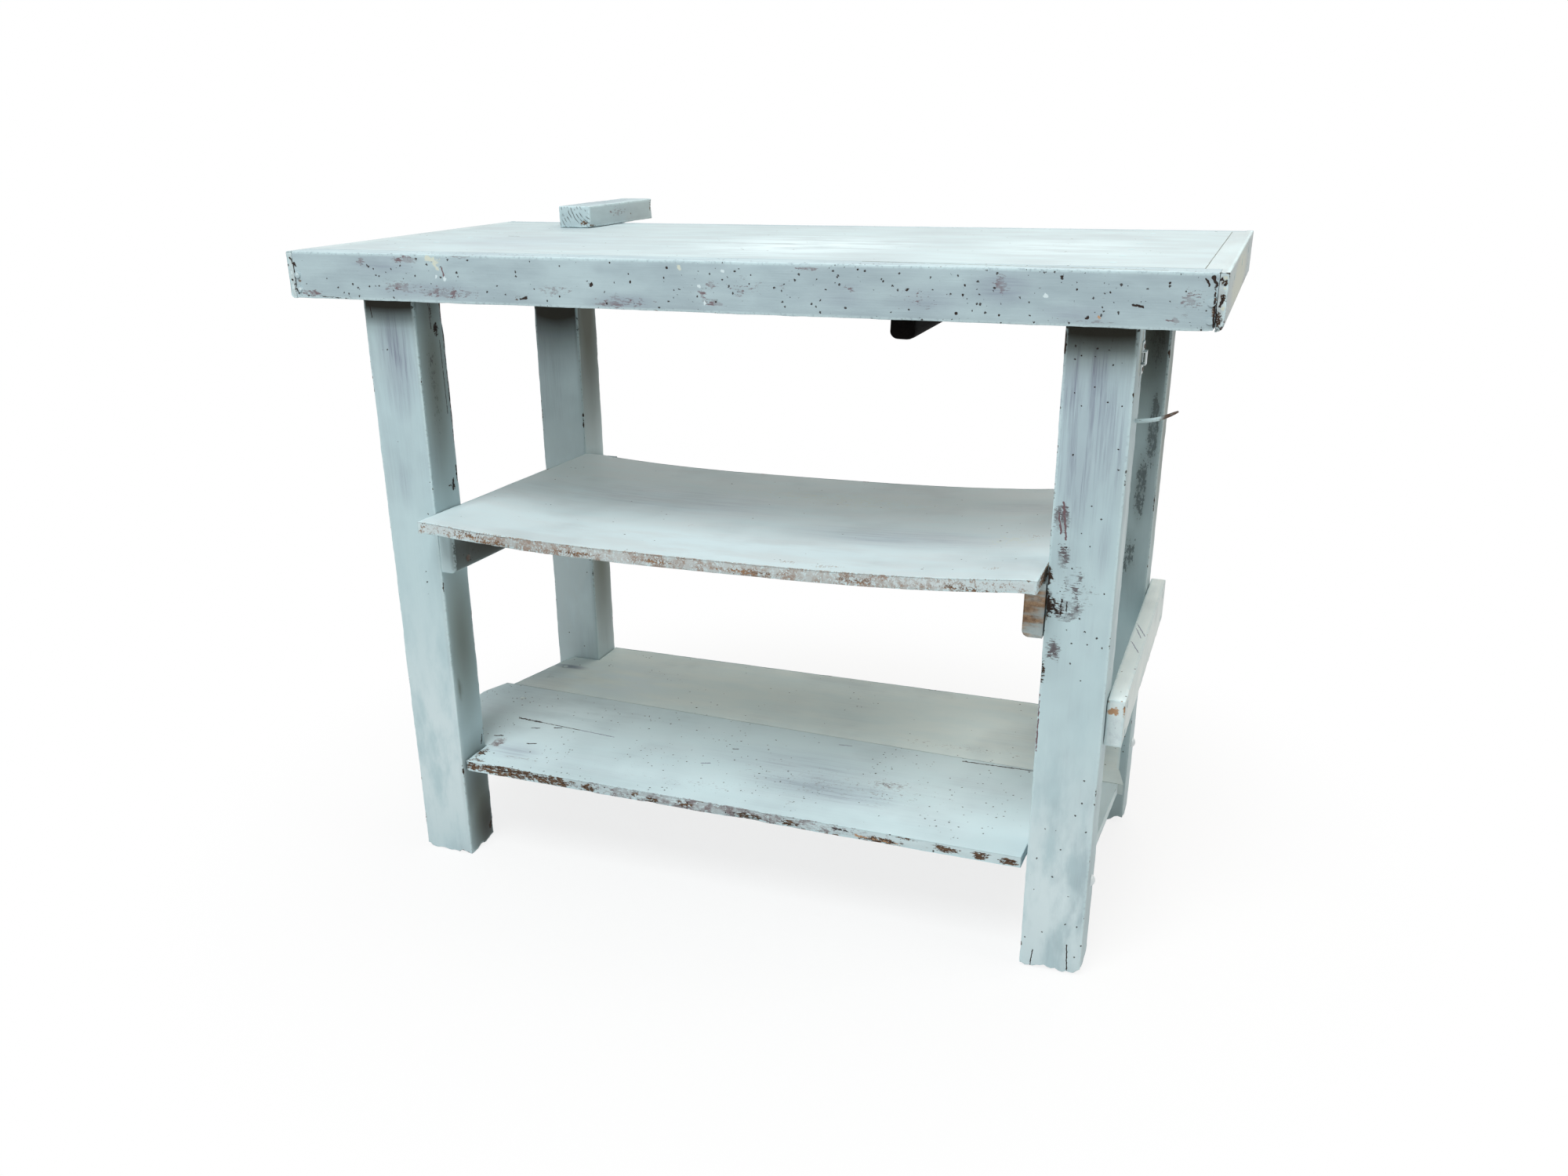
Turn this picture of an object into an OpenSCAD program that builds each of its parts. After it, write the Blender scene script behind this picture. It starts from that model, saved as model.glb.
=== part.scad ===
// Painted wooden workbench with a boxed-in top, a bowed middle shelf on two battens
// and a two-board lower shelf. Millimetres, +Z up, +X to the right along the front,
// +Y to the back. The origin is on the floor, under the middle of the whole object.

/* [Overall] */
// Height of the worktop above the floor
bench_h = 850; // [800:5:920]
// Length of the worktop
top_l = 1120; // [1040:10:1300]
// Depth of the worktop, front face to back face
top_d = 542; // [500:2:640]

/* [Worktop] */
// Height of the boards round the edge of the top
edge_h = 57; // [50:1:70]
// Thickness of the front edge board, which is also how far the front legs stand back
front_edge_t = 33; // [28:1:38]
// Thickness of the back edge board, which is also how far the back legs stand in
back_edge_t = 27; // [24:1:34]
// Thickness of the boards across the two ends
end_t = 25; // [20:1:32]
// Thickness left on an end board where it laps over the end of an edge board
lip_t = 9; // [6:1:12]
// Thickness of the planks
plank_t = 30; // [24:1:34]
// Gap beside each plank, closed by the paint
plank_gap = 0.2; // [0.1:0.1:1]

/* [Cross bearer] */
// Width of the bare bearer under the planks
bearer_w = 29; // [24:1:40]
// Depth of the bearer below the planks
bearer_h = 52; // [45:1:65]
// From the right end of the top to the bearer's right face
bearer_inset = 318; // [250:1:400]
// Bevel on the bearer's lower edges
bearer_bevel = 4; // [2:1:6]

/* [Legs] */
// Width of a leg, along the front
leg_w = 76; // [68:1:90]
// Depth of a leg, front to back
leg_d = 62; // [56:1:76]
// From the end of the top to the outer face of a leg
leg_inset = 82; // [70:1:110]

/* [Side rails] */
// Thickness of the rails between front and back legs
rail_t = 36; // [30:1:44]
// Height of the upper side rails, under the planks
upper_rail_h = 38; // [34:1:48]
// Height of the lower side rails, under the lower shelf
lower_rail_h = 26; // [24:1:34]
// Thickness of the tenons on the side rails
tenon_t = 12; // [8:1:16]
// Length of a tenon
tenon_l = 34; // [28:1:46]
// Step from a rail's lower face to its tenon
tenon_step = 4; // [2:1:5]
// Step from a rail's upper face to its tenon
tenon_top_step = 6; // [4:1:9]
// Diameter of the wooden pegs through the upper tenons
peg_d = 8; // [6:0.5:10]
// Wood left between the end of a peg or bolt and the leg's inner face
blind_wood = 16; // [12:1:22]
// Shank diameter of the bolts through the lower tenons
bolt_d = 8; // [6:0.5:9]
// Diameter of a bolt's domed head
dome_d = 15; // [13:0.5:20]
// Height of a bolt's domed head
dome_h = 5; // [4:0.5:6]

/* [Middle shelf] */
// Thickness of the middle shelf board
shelf_t = 16; // [13:0.5:20]
// Depth of the middle shelf board
shelf_d = 463; // [430:1:480]
// How far the shelf stands out in front of the worktop
shelf_proud = 12; // [2:1:20]
// How far the shelf sags between its battens
shelf_sag = 12.5; // [4:0.5:18]
// Gap between the shelf and the left legs
shelf_left_gap = 1; // [0.5:0.5:3]
// Gap between the shelf and the right legs
shelf_right_gap = 3; // [0.5:0.5:6]
// Thickness of a batten
batten_w = 24; // [20:1:30]
// Height of a batten
batten_h = 65; // [55:1:75]
// Height of the left batten's upper face above the floor, at its front end
batten_top = 501; // [460:1:560]
// Clearance under the loose shelf, where it lies on the battens
shelf_clear = 0.05; // [0.02:0.01:0.2]
// How much higher the right batten is than the left one
batten_rise = 5.5; // [0:0.5:8]
// Fall of the battens towards the back, in degrees
batten_fall = 1.5; // [0.5:0.1:2]
// Rounding of a batten's lower inner edge
batten_round = 8; // [3:1:12]

/* [Lower shelf] */
// Height of the lower shelf's upper face above the floor
lower_top = 150.5; // [130:0.5:190]
// Thickness of the lower shelf boards
lower_t = 16; // [13:0.5:22]
// From the front face of the legs back to the shelf's front edge
lower_setback = 7; // [3:1:12]
// Width of the front board at the left end, measured to the seam
seam_left_w = 272; // [240:1:300]
// Width of the front board at the right end, measured to the seam
seam_right_w = 240; // [220:1:300]
// Gap between the two boards
seam_gap = 0.8; // [0.4:0.2:2]
// Gap between a notch and its leg
notch_gap = 1; // [0.5:0.5:2]
// Gap between the front tongue and the front right leg, at the shelf's front edge
tongue_gap = 7; // [3:1:10]
// How far the front board stands out past the left legs
front_over_left = 35; // [20:1:45]
// Length of the broken corner at the front board's left end, along the end
front_chip_l = 45; // [20:1:70]
// Width of the broken corner at the front board's left end
front_chip_w = 17; // [6:1:18]
// How far the front board stands out past the right legs, at the seam
front_over_right = 3; // [1:1:8]
// How far the front board's right end is cut back inside the front right leg
front_cut_right = 5; // [2:1:20]
// How far the back board stands out past the left legs, at the seam
back_over_left = 6; // [2:1:20]
// How far the back board's left end is cut back inside the back left leg
back_cut_left = 28; // [10:1:36]
// How far the back board stands out past the right legs, at the seam
back_over_right = 10; // [3:1:16]
// Length of the broken corner at the back board's right end, along the end
back_chip_l = 48; // [20:1:70]
// Width of the broken corner at the back board's right end
back_chip_w = 12; // [4:1:16]
// How far the back board's right end is cut back inside the back right leg
back_cut_right = 12; // [4:1:30]

/* [Side stretcher] */
// Thickness of the stretcher on the outside of the right legs
stretcher_t = 21.5; // [16:0.5:28]
// Height of the stretcher
stretcher_h = 60; // [50:1:75]
// How far the stretcher stands out behind the back leg
stretcher_over = 7; // [0:1:20]
// Height of the stretcher's upper face above the floor
stretcher_top = 369.5; // [340:0.5:430]
// From the front face of the front leg back to the stretcher's front end
stretcher_setback = 19; // [8:1:26]

/* [Stop block] */
// Width of the block on the top
block_w = 52; // [40:1:70]
// Height of the block
block_h = 31; // [22:1:40]
// Length of the block
block_l = 212; // [180:1:260]
// How far the block stands out behind the top
block_over = 91; // [40:1:110]
// From the left end of the top to the block
block_inset = 155; // [120:1:220]

/* [Hook and keeper] */
// Diameter of the big nail that serves as a hook
hook_d = 4.5; // [3.5:0.5:6]
// Length of the nail outside the leg
hook_l = 45; // [30:1:55]
// Depth of the nail inside the leg
hook_in = 25; // [20:1:40]
// Length of the hook's tapered tip
hook_tip = 9; // [5:1:14]
// Diameter at the end of the hook's tip
hook_tip_d = 2; // [1:0.5:3]
// Upward slope of the hook, in degrees
hook_slope = 16.5; // [5:0.5:30]
// From the worktop down to where the hook leaves the leg
hook_drop = 162; // [130:1:250]
// From the front face of the leg back to the hook
hook_back = 37; // [15:1:45]
// From the worktop down to the keeper's middle
keeper_drop = 96.5; // [90:0.5:110]
// From the front face of the leg back to the keeper's middle
keeper_back = 46; // [12:1:48]
// Width of the keeper's strip
keeper_w = 14; // [10:1:20]
// Thickness of the keeper's strip
keeper_t = 1.2; // [0.8:0.1:2]
// Clear height of the keeper's loop
keeper_loop = 12; // [8:1:16]
// How far the loop stands off the leg, to its inner face
keeper_off = 3.4; // [2.5:0.1:6]
// Length of each foot of the keeper
keeper_foot = 10; // [8:1:14]

/* [Fasteners] */
// Shank diameter of the wood screws
screw_d = 5; // [4:0.5:6]
// Head diameter of the wood screws
screw_head_d = 9.5; // [8:0.5:12]
// Height of a countersunk screw head
screw_head_h = 3; // [2:0.5:4]
// Distance of the batten and stretcher screws above and below the middle of their board
screw_spread = 18; // [12:1:22]
// Grip of the batten and stretcher screws in the leg
side_grip = 36; // [24:1:44]
// Distance of an edge board screw to either side of the leg's middle
edge_spread = 20; // [14:1:26]
// Depth of an edge board screw's head below the face
edge_sink = 3; // [1:0.5:5]
// Grip of an edge board screw in the leg
edge_grip = 22; // [16:1:23]
// From a bearer screw's head up to the planks
bearer_seat = 25; // [18:1:32]
// Grip of a bearer screw in the plank
bearer_grip = 17; // [12:1:20]
// Grip of a block screw in the top
block_grip = 19; // [14:1:22]
// From the back plank's back edge to the block's front screw
block_screw_in = 62; // [45:1:75]
// Shank diameter of the nails
nail_d = 3.4; // [2.5:0.1:4.5]
// Head diameter of the nails
nail_head_d = 8; // [6:0.5:9.5]
// Thickness of a nail head
nail_head_t = 1.4; // [1:0.1:2]
// Grip of a plank nail in the rail or the leg
plank_grip = 30; // [22:1:32]
// From a plank's edge to its nails in the rails
plank_nail_in = 40; // [25:1:50]
// From the middle of a leg to the plank nail in it
leg_nail_off = 13; // [11:1:18]
// Grip of an end board nail in the plank
end_grip = 35; // [25:1:45]
// Grip of a corner nail in the end board
corner_grip = 26; // [18:1:35]
// From the end of an edge board to its corner nails
corner_nail_in = 5; // [5:0.5:8]
// From the lower face of an edge board up to its lower corner nail
corner_nail_low = 11.5; // [8:0.5:18]
// From the lower corner nail up to the other one
corner_nail_step = 17; // [12:1:24]
// How far a corner nail's head stands out
corner_nail_proud = 0.8; // [0:0.2:1.2]
// Grip of a lower shelf nail in the rail
shelf_grip = 20; // [14:1:22]
// From the seam or a notch to the lower shelf nails
shelf_nail_in = 45; // [20:1:60]
// Shank diameter of the keeper's screws
tiny_screw_d = 2.6; // [2:0.2:3.4]
// Diameter of a keeper screw's round head
tiny_head_d = 5.2; // [4.5:0.1:6]
// Height of a keeper screw's round head
tiny_head_h = 1.3; // [1:0.1:2]
// Grip of the keeper's screws in the leg
tiny_grip = 14; // [10:1:20]
// Clearance round a shank in its hole
hole_clear = 0.05; // [0.02:0.01:0.1]

/* [Hidden] */

round_fn = 48;
paint = "#c4d2d8";
shade_paint = "#aebdc2";
bare_wood = "#4a3628";
end_wood = "#b98d64";
steel = "#8d8f8f";
past = 1; // how far a cut runs past a face

// Places along X
half_top = top_l / 2;
leg_out = half_top - leg_inset;
leg_in = leg_out - leg_w;
leg_x = (leg_in + leg_out) / 2;
plank_half = half_top - end_t;
board_half = half_top - lip_t;

// Places along Y: the shelf reaches furthest forward and the block furthest back
front_y = (shelf_proud - top_d - block_over) / 2;
back_y = front_y + top_d;
leg_front_y = front_y + front_edge_t;
leg_back_y = back_y - back_edge_t;
front_leg_y = leg_front_y + leg_d / 2;
back_leg_y = leg_back_y - leg_d / 2;
rail_front_y = leg_front_y + leg_d;
rail_back_y = leg_back_y - leg_d;
planks_d = leg_back_y - leg_front_y;
plank_pitch = (planks_d - plank_gap) / 3;
plank_w = plank_pitch - plank_gap;
plank_y = [for (i = [0 : 2]) leg_front_y + plank_gap + i * plank_pitch];
plank_mid_y = [for (y = plank_y) y + plank_w / 2];

// Places along Z
edge_z = bench_h - edge_h;
leg_h = bench_h - plank_t;
upper_rail_z = leg_h - upper_rail_h;
lower_under = lower_top - lower_t;
lower_rail_z = lower_under - lower_rail_h;
upper_tenon_z = upper_rail_z + tenon_step;
upper_tenon_h = upper_rail_h - tenon_step - tenon_top_step;
lower_tenon_z = lower_rail_z + tenon_step;
lower_tenon_h = lower_rail_h - 2 * tenon_step;
peg_z = upper_tenon_z + upper_tenon_h / 2;
bolt_z = lower_tenon_z + lower_tenon_h / 2;
edge_screw_z = (edge_z + leg_h) / 2;
corner_nail_z = [edge_z + corner_nail_low, edge_z + corner_nail_low + corner_nail_step];

// The middle shelf is flat over each batten and bowed between them. It lies in a frame
// that is turned about the battens' front end.
shelf_x0 = -leg_in + shelf_left_gap;
shelf_x1 = leg_in - shelf_right_gap;
bow_x0 = -leg_in + batten_w;
bow_x1 = leg_in - batten_w;
bow_steps = 24;
function bow_share(x) = max(0, min(1, (x - bow_x0) / (bow_x1 - bow_x0)));
function shelf_under(x) =
    batten_rise * bow_share(x) - shelf_sag * (1 - pow(abs(2 * bow_share(x) - 1), 3));
bow_xs = concat([shelf_x0], [for (i = [0 : bow_steps]) bow_x0 + i * (bow_x1 - bow_x0) / bow_steps],
                [shelf_x1]);
shelf_low = shelf_clear + min([for (x = bow_xs) shelf_under(x)]);
shelf_s0 = (front_y - shelf_proud - leg_front_y - shelf_low * sin(batten_fall)) / cos(batten_fall);
batten_l = planks_d / cos(batten_fall);
batten_round_steps = 8;

// The lower shelf's two boards meet on a slanting seam
lower_front_y = leg_front_y + lower_setback;
notch_front_y = rail_front_y + notch_gap;
notch_back_y = rail_back_y - notch_gap;
notch_x = leg_in - notch_gap;
function seam_y(x) =
    lower_front_y + seam_left_w + (seam_right_w - seam_left_w) * (x + leg_out) / (2 * leg_out);

// The stretcher, the block, the hook and the keeper
stretcher_y = leg_front_y + stretcher_setback;
stretcher_l = leg_back_y + stretcher_over - stretcher_y;
stretcher_screw_y = [(stretcher_y + rail_front_y) / 2, back_leg_y];
stretcher_mid_z = stretcher_top - stretcher_h / 2;
block_x = -half_top + block_inset + block_w / 2;
hook_z = bench_h - hook_drop;
keeper_y = leg_front_y + keeper_back;
keeper_z = bench_h - keeper_drop;
keeper_reach = keeper_loop / 2 + keeper_t;
keeper_screw_z = keeper_reach + keeper_foot / 2;

// Where the planks are nailed down, front to back
plank_nail_y = [front_leg_y + leg_nail_off, plank_y[0] + plank_w - plank_nail_in,
                plank_y[1] + plank_nail_in, plank_y[1] + plank_w - plank_nail_in,
                plank_y[2] + plank_nail_in, back_leg_y - leg_nail_off];

// A countersunk screw that is driven along +Z, with the top of its head at z = 0
module screw(l, d, head_d, head_h, clear = 0, sink = 0) {
    cylinder(h = head_h, r1 = head_d / 2, r2 = d / 2, $fn = round_fn);
    cylinder(h = l, r = d / 2 + clear, $fn = round_fn);
    if (clear > 0 && sink > 0)
        translate([0, 0, -sink - past]) cylinder(h = sink + past, d = head_d, $fn = round_fn);
}

module wood_screw(l, clear = 0, sink = 0) {
    screw(l, screw_d, screw_head_d, screw_head_h, clear, sink);
}

// A flat-headed nail that is driven along +Z, with the top of its head at z = 0
module nail(l, clear = 0) {
    cylinder(h = nail_head_t, d = nail_head_d, $fn = round_fn);
    cylinder(h = l, r = nail_d / 2 + clear, $fn = round_fn);
}

// A domed head that stands on z = 0 and points to -Z
module dome(d, h) {
    ball = (d * d / 4 + h * h) / (2 * h);
    intersection() {
        translate([0, 0, ball - h]) sphere(r = ball, $fn = round_fn);
        translate([0, 0, -h / 2]) cube([d + past, d + past, h], center = true);
    }
}

module along_minus_z() { rotate([180, 0, 0]) children(); }
module along_x(s) { rotate([0, s * 90, 0]) children(); }
module along_y(s) { rotate([-s * 90, 0, 0]) children(); }

// The turned frame of the middle shelf and its battens: y = 0 is the legs' front face
// and z = 0 the left batten's upper face
module on_battens() {
    translate([0, leg_front_y, batten_top]) rotate([-batten_fall, 0, 0]) children();
}

// Nails from the planks down into the upper side rails and the tops of the legs
module plank_nail_set(clear = 0) {
    for (s = [-1, 1], y = plank_nail_y)
        translate([s * leg_x, y, bench_h]) along_minus_z() nail(plank_t + plank_grip, clear);
}

// Nails from the end boards into the ends of the planks
module end_nail_set(clear = 0) {
    for (s = [-1, 1], y = plank_mid_y)
        translate([s * half_top, y, bench_h - plank_t / 2])
            along_x(-s) nail(end_t + end_grip, clear);
}

// Nails through the ends of the edge boards into the end boards, two at each corner
module corner_nail_set(clear = 0) {
    for (s = [-1, 1], z = corner_nail_z) {
        nail_x = s * (board_half - corner_nail_in);
        translate([nail_x, front_y - corner_nail_proud, z])
            along_y(1) nail(corner_nail_proud + front_edge_t + corner_grip, clear);
        translate([nail_x, back_y + corner_nail_proud, z])
            along_y(-1) nail(corner_nail_proud + back_edge_t + corner_grip, clear);
    }
}

// Screws from the edge boards into the tops of the legs, with their heads sunk
module edge_screw_set(clear = 0) {
    for (s = [-1, 1], e = [-1, 1]) {
        screw_x = s * leg_x + e * edge_spread;
        translate([screw_x, front_y + edge_sink, edge_screw_z])
            along_y(1) wood_screw(front_edge_t - edge_sink + edge_grip, clear, edge_sink);
        translate([screw_x, back_y - edge_sink, edge_screw_z])
            along_y(-1) wood_screw(back_edge_t - edge_sink + edge_grip, clear, edge_sink);
    }
}

// Screws up through the bearer, one into each plank
module bearer_screw_set(clear = 0) {
    for (y = plank_mid_y)
        translate([half_top - bearer_inset - bearer_w / 2, y, leg_h - bearer_seat])
            wood_screw(bearer_seat + bearer_grip, clear, bearer_h - bearer_seat);
}

// Wooden pegs through the upper tenons
module peg_set(clear = 0) {
    for (s = [-1, 1], y = [front_leg_y, back_leg_y])
        translate([s * leg_out, y, peg_z])
            along_x(-s) cylinder(h = leg_w - blind_wood, r = peg_d / 2 + clear, $fn = round_fn);
}

// Domed bolts through the lower tenons
module bolt_set(clear = 0) {
    for (s = [-1, 1], y = [front_leg_y, back_leg_y])
        translate([s * leg_out, y, bolt_z]) along_x(-s) {
            dome(dome_d, dome_h);
            cylinder(h = leg_w - blind_wood, r = bolt_d / 2 + clear, $fn = round_fn);
        }
}

// Screws through the battens into the legs, two at each leg
module batten_screw_set(clear = 0) {
    on_battens()
        for (s = [-1, 1], y = [leg_d / 2, planks_d - leg_d / 2], e = [-1, 1])
            translate([s * (leg_in - batten_w), y,
                       (s > 0 ? batten_rise : 0) - batten_h / 2 + e * screw_spread])
                along_x(s) wood_screw(batten_w + side_grip, clear);
}

// Nails from the lower shelf into the lower side rails, two for each board and rail
module lower_nail_set(clear = 0) {
    for (s = [-1, 1]) {
        seam = seam_y(s * leg_x);
        for (y = [notch_front_y + shelf_nail_in, seam - shelf_nail_in, seam + shelf_nail_in,
                  notch_back_y - shelf_nail_in])
            translate([s * leg_x, y, lower_top])
                along_minus_z() nail(lower_t + shelf_grip, clear);
    }
}

// Screws through the stretcher into the right legs, two at each leg
module stretcher_screw_set(clear = 0) {
    for (y = stretcher_screw_y, e = [-1, 1])
        translate([leg_out + stretcher_t, y, stretcher_mid_z + e * screw_spread])
            along_x(-1) wood_screw(stretcher_t + side_grip, clear);
}

// Screws down through the block into the back edge board and the back plank
module block_screw_set(clear = 0) {
    for (y = [back_y - back_edge_t / 2, leg_back_y - block_screw_in])
        translate([block_x, y, bench_h + block_h])
            along_minus_z() wood_screw(block_h + block_grip, clear);
}

// Round-headed screws through the keeper's feet
module keeper_screw_set(clear = 0) {
    for (e = [-1, 1])
        translate([leg_out + keeper_t, keeper_y, keeper_z + e * keeper_screw_z])
            along_x(-1) {
                dome(tiny_head_d, tiny_head_h);
                cylinder(h = keeper_t + tiny_grip, r = tiny_screw_d / 2 + clear, $fn = round_fn);
            }
}

// The hook is a nail that was driven in at a slant, with its head broken off
module on_hook() {
    translate([leg_out, leg_front_y + hook_back, hook_z]) rotate([0, -hook_slope, 0])
        translate([-hook_in, 0, 0]) along_x(1) children();
}
module hook_hole() {
    on_hook() cylinder(h = hook_in + hook_d, r = hook_d / 2 + hole_clear, $fn = round_fn);
}
module hook_shape() {
    on_hook() {
        cylinder(h = hook_in + hook_l - hook_tip, d = hook_d, $fn = round_fn);
        translate([0, 0, hook_in + hook_l - hook_tip])
            cylinder(h = hook_tip, d1 = hook_d, d2 = hook_tip_d, $fn = round_fn);
    }
}

module edge_board(y, t) {
    color(paint) difference() {
        translate([-board_half, y, edge_z]) cube([2 * board_half, t, edge_h]);
        corner_nail_set(hole_clear);
        edge_screw_set(hole_clear);
        block_screw_set(hole_clear);
    }
}
module front_edge_board() { edge_board(front_y, front_edge_t); }
module back_edge_board() { edge_board(leg_back_y, back_edge_t); }

// An end board is full thickness between the edge boards and a thin lip over their ends
module end_board(s) {
    color(paint) difference() {
        translate([s > 0 ? plank_half : -half_top, front_y, edge_z]) cube([end_t, top_d, edge_h]);
        for (cut = [[front_y - past, front_edge_t + past], [leg_back_y, back_edge_t + past]])
            translate([s > 0 ? plank_half - past : -board_half, cut[0], edge_z - past])
                cube([end_t - lip_t + past, cut[1], edge_h + 2 * past]);
        corner_nail_set(hole_clear);
        end_nail_set(hole_clear);
    }
}
module left_end_board() { end_board(-1); }
module right_end_board() { end_board(1); }

module plank(i) {
    color(paint) difference() {
        translate([-plank_half, plank_y[i], leg_h]) cube([2 * plank_half, plank_w, plank_t]);
        plank_nail_set(hole_clear);
        end_nail_set(hole_clear);
        bearer_screw_set(hole_clear);
        block_screw_set(hole_clear);
    }
}
module front_plank() { plank(0); }
module middle_plank() { plank(1); }
module back_plank() { plank(2); }

// Bare bearer, bevelled along its two lower edges
module cross_bearer() {
    color(bare_wood) difference() {
        translate([half_top - bearer_inset - bearer_w, leg_back_y, leg_h - bearer_h])
            rotate([90, 0, 0]) linear_extrude(planks_d)
                polygon([[bearer_bevel, 0], [bearer_w - bearer_bevel, 0], [bearer_w, bearer_bevel],
                         [bearer_w, bearer_h], [0, bearer_h], [0, bearer_bevel]]);
        bearer_screw_set(hole_clear);
    }
}

// A rail between the front and back legs, with a tenon at each end
module side_rail(s, z, h, tenon_z, tenon_h) {
    translate([s * leg_x - rail_t / 2, rail_front_y, z]) cube([rail_t, rail_back_y - rail_front_y, h]);
    translate([s * leg_x - tenon_t / 2, rail_front_y - tenon_l, tenon_z])
        cube([tenon_t, rail_back_y - rail_front_y + 2 * tenon_l, tenon_h]);
}
module upper_rail_blank(s) { side_rail(s, upper_rail_z, upper_rail_h, upper_tenon_z, upper_tenon_h); }
module lower_rail_blank(s) { side_rail(s, lower_rail_z, lower_rail_h, lower_tenon_z, lower_tenon_h); }
module upper_rail(s) {
    color(shade_paint) difference() {
        upper_rail_blank(s);
        plank_nail_set(hole_clear);
        peg_set(hole_clear);
    }
}
module lower_rail(s) {
    color(shade_paint) difference() {
        lower_rail_blank(s);
        lower_nail_set(hole_clear);
        bolt_set(hole_clear);
    }
}
module left_upper_rail() { upper_rail(-1); }
module right_upper_rail() { upper_rail(1); }
module left_lower_rail() { lower_rail(-1); }
module right_lower_rail() { lower_rail(1); }

// A leg with its mortises and the holes of all that is fixed to it
module leg(s, y) {
    color(paint) difference() {
        translate([s * leg_x - leg_w / 2, y - leg_d / 2, 0]) cube([leg_w, leg_d, leg_h]);
        upper_rail_blank(s);
        lower_rail_blank(s);
        plank_nail_set(hole_clear);
        edge_screw_set(hole_clear);
        peg_set(hole_clear);
        bolt_set(hole_clear);
        batten_screw_set(hole_clear);
        stretcher_screw_set(hole_clear);
        keeper_screw_set(hole_clear);
        hook_hole();
    }
}
module front_left_leg() { leg(-1, front_leg_y); }
module front_right_leg() { leg(1, front_leg_y); }
module back_left_leg() { leg(-1, back_leg_y); }
module back_right_leg() { leg(1, back_leg_y); }

// The middle shelf: a strip of constant thickness that follows the bow
module middle_shelf() {
    last = len(bow_xs) - 1;
    color(paint) on_battens()
        translate([0, shelf_s0 + shelf_d, shelf_clear]) rotate([90, 0, 0]) linear_extrude(shelf_d)
            polygon(concat([for (x = bow_xs) [x, shelf_under(x)]],
                           [for (i = [last : -1 : 0]) [bow_xs[i], shelf_under(bow_xs[i]) + shelf_t]]));
}

// A batten in the shelf's turned frame, with its lower inner edge rounded
module batten_blank() {
    rotate([90, 0, 0]) linear_extrude(batten_l)
        polygon(concat([[0, 0], [0, -batten_h]],
                       [for (i = [0 : batten_round_steps])
                           [batten_w - batten_round + batten_round * sin(90 * i / batten_round_steps),
                            -batten_h + batten_round - batten_round * cos(90 * i / batten_round_steps)]],
                       [[batten_w, 0]]));
}
module left_batten() {
    color(shade_paint) difference() {
        on_battens() translate([-leg_in, batten_l, 0]) batten_blank();
        batten_screw_set(hole_clear);
    }
}
module right_batten() {
    color(end_wood) difference() {
        on_battens() translate([leg_in, batten_l, batten_rise]) mirror([1, 0, 0]) batten_blank();
        batten_screw_set(hole_clear);
    }
}

// A lower shelf board, notched round the legs
module lower_board(points) {
    color(paint) difference() {
        translate([0, 0, lower_under]) linear_extrude(lower_t) polygon(points);
        lower_nail_set(hole_clear);
    }
}
module lower_front_board() {
    left_x = -leg_out - front_over_left;
    right_x = leg_out + front_over_right;
    tongue_x = leg_in - tongue_gap;
    lower_board([[-notch_x, lower_front_y],
                 [tongue_x, lower_front_y],
                 [tongue_x + 0.15 * tongue_gap, lower_front_y + 0.5 * leg_d],
                 [tongue_x + 0.5 * tongue_gap, lower_front_y + 0.8 * leg_d],
                 [notch_x, notch_front_y],
                 [leg_out - front_cut_right, notch_front_y],
                 [right_x, seam_y(right_x)],
                 [left_x + front_chip_w, seam_y(left_x + front_chip_w)],
                 [left_x, seam_y(left_x) - front_chip_l],
                 [left_x, notch_front_y],
                 [-notch_x, notch_front_y]]);
}
module lower_back_board() {
    left_x = -leg_out - back_over_left;
    right_x = leg_out + back_over_right;
    lower_board([[left_x, seam_y(left_x) + seam_gap],
                 [right_x, seam_y(right_x) + seam_gap],
                 [right_x - back_chip_w, seam_y(right_x) + seam_gap + back_chip_l],
                 [leg_out - back_cut_right, notch_back_y],
                 [notch_x, notch_back_y],
                 [notch_x, leg_back_y],
                 [-notch_x, leg_back_y],
                 [-notch_x, notch_back_y],
                 [-leg_out + back_cut_left, notch_back_y]]);
}

module side_stretcher() {
    color(paint) difference() {
        translate([leg_out, stretcher_y, stretcher_top - stretcher_h])
            cube([stretcher_t, stretcher_l, stretcher_h]);
        stretcher_screw_set(hole_clear);
    }
}

module stop_block() {
    color(paint) difference() {
        translate([block_x - block_w / 2, back_y + block_over - block_l, bench_h])
            cube([block_w, block_l, block_h]);
        block_screw_set(hole_clear);
    }
}

// A strip bent into a low loop, with a foot above and a foot below
module latch_keeper() {
    color(steel) difference() {
        translate([leg_out, keeper_y - keeper_w / 2, keeper_z]) {
            for (z = [-keeper_reach - keeper_foot, keeper_reach - keeper_t])
                translate([0, 0, z]) cube([keeper_t, keeper_w, keeper_foot + keeper_t]);
            for (z = [-keeper_reach, keeper_reach - keeper_t])
                translate([0, 0, z]) cube([keeper_off + keeper_t, keeper_w, keeper_t]);
            translate([keeper_off, 0, -keeper_reach]) cube([keeper_t, keeper_w, 2 * keeper_reach]);
        }
        keeper_screw_set(hole_clear);
    }
}

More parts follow.
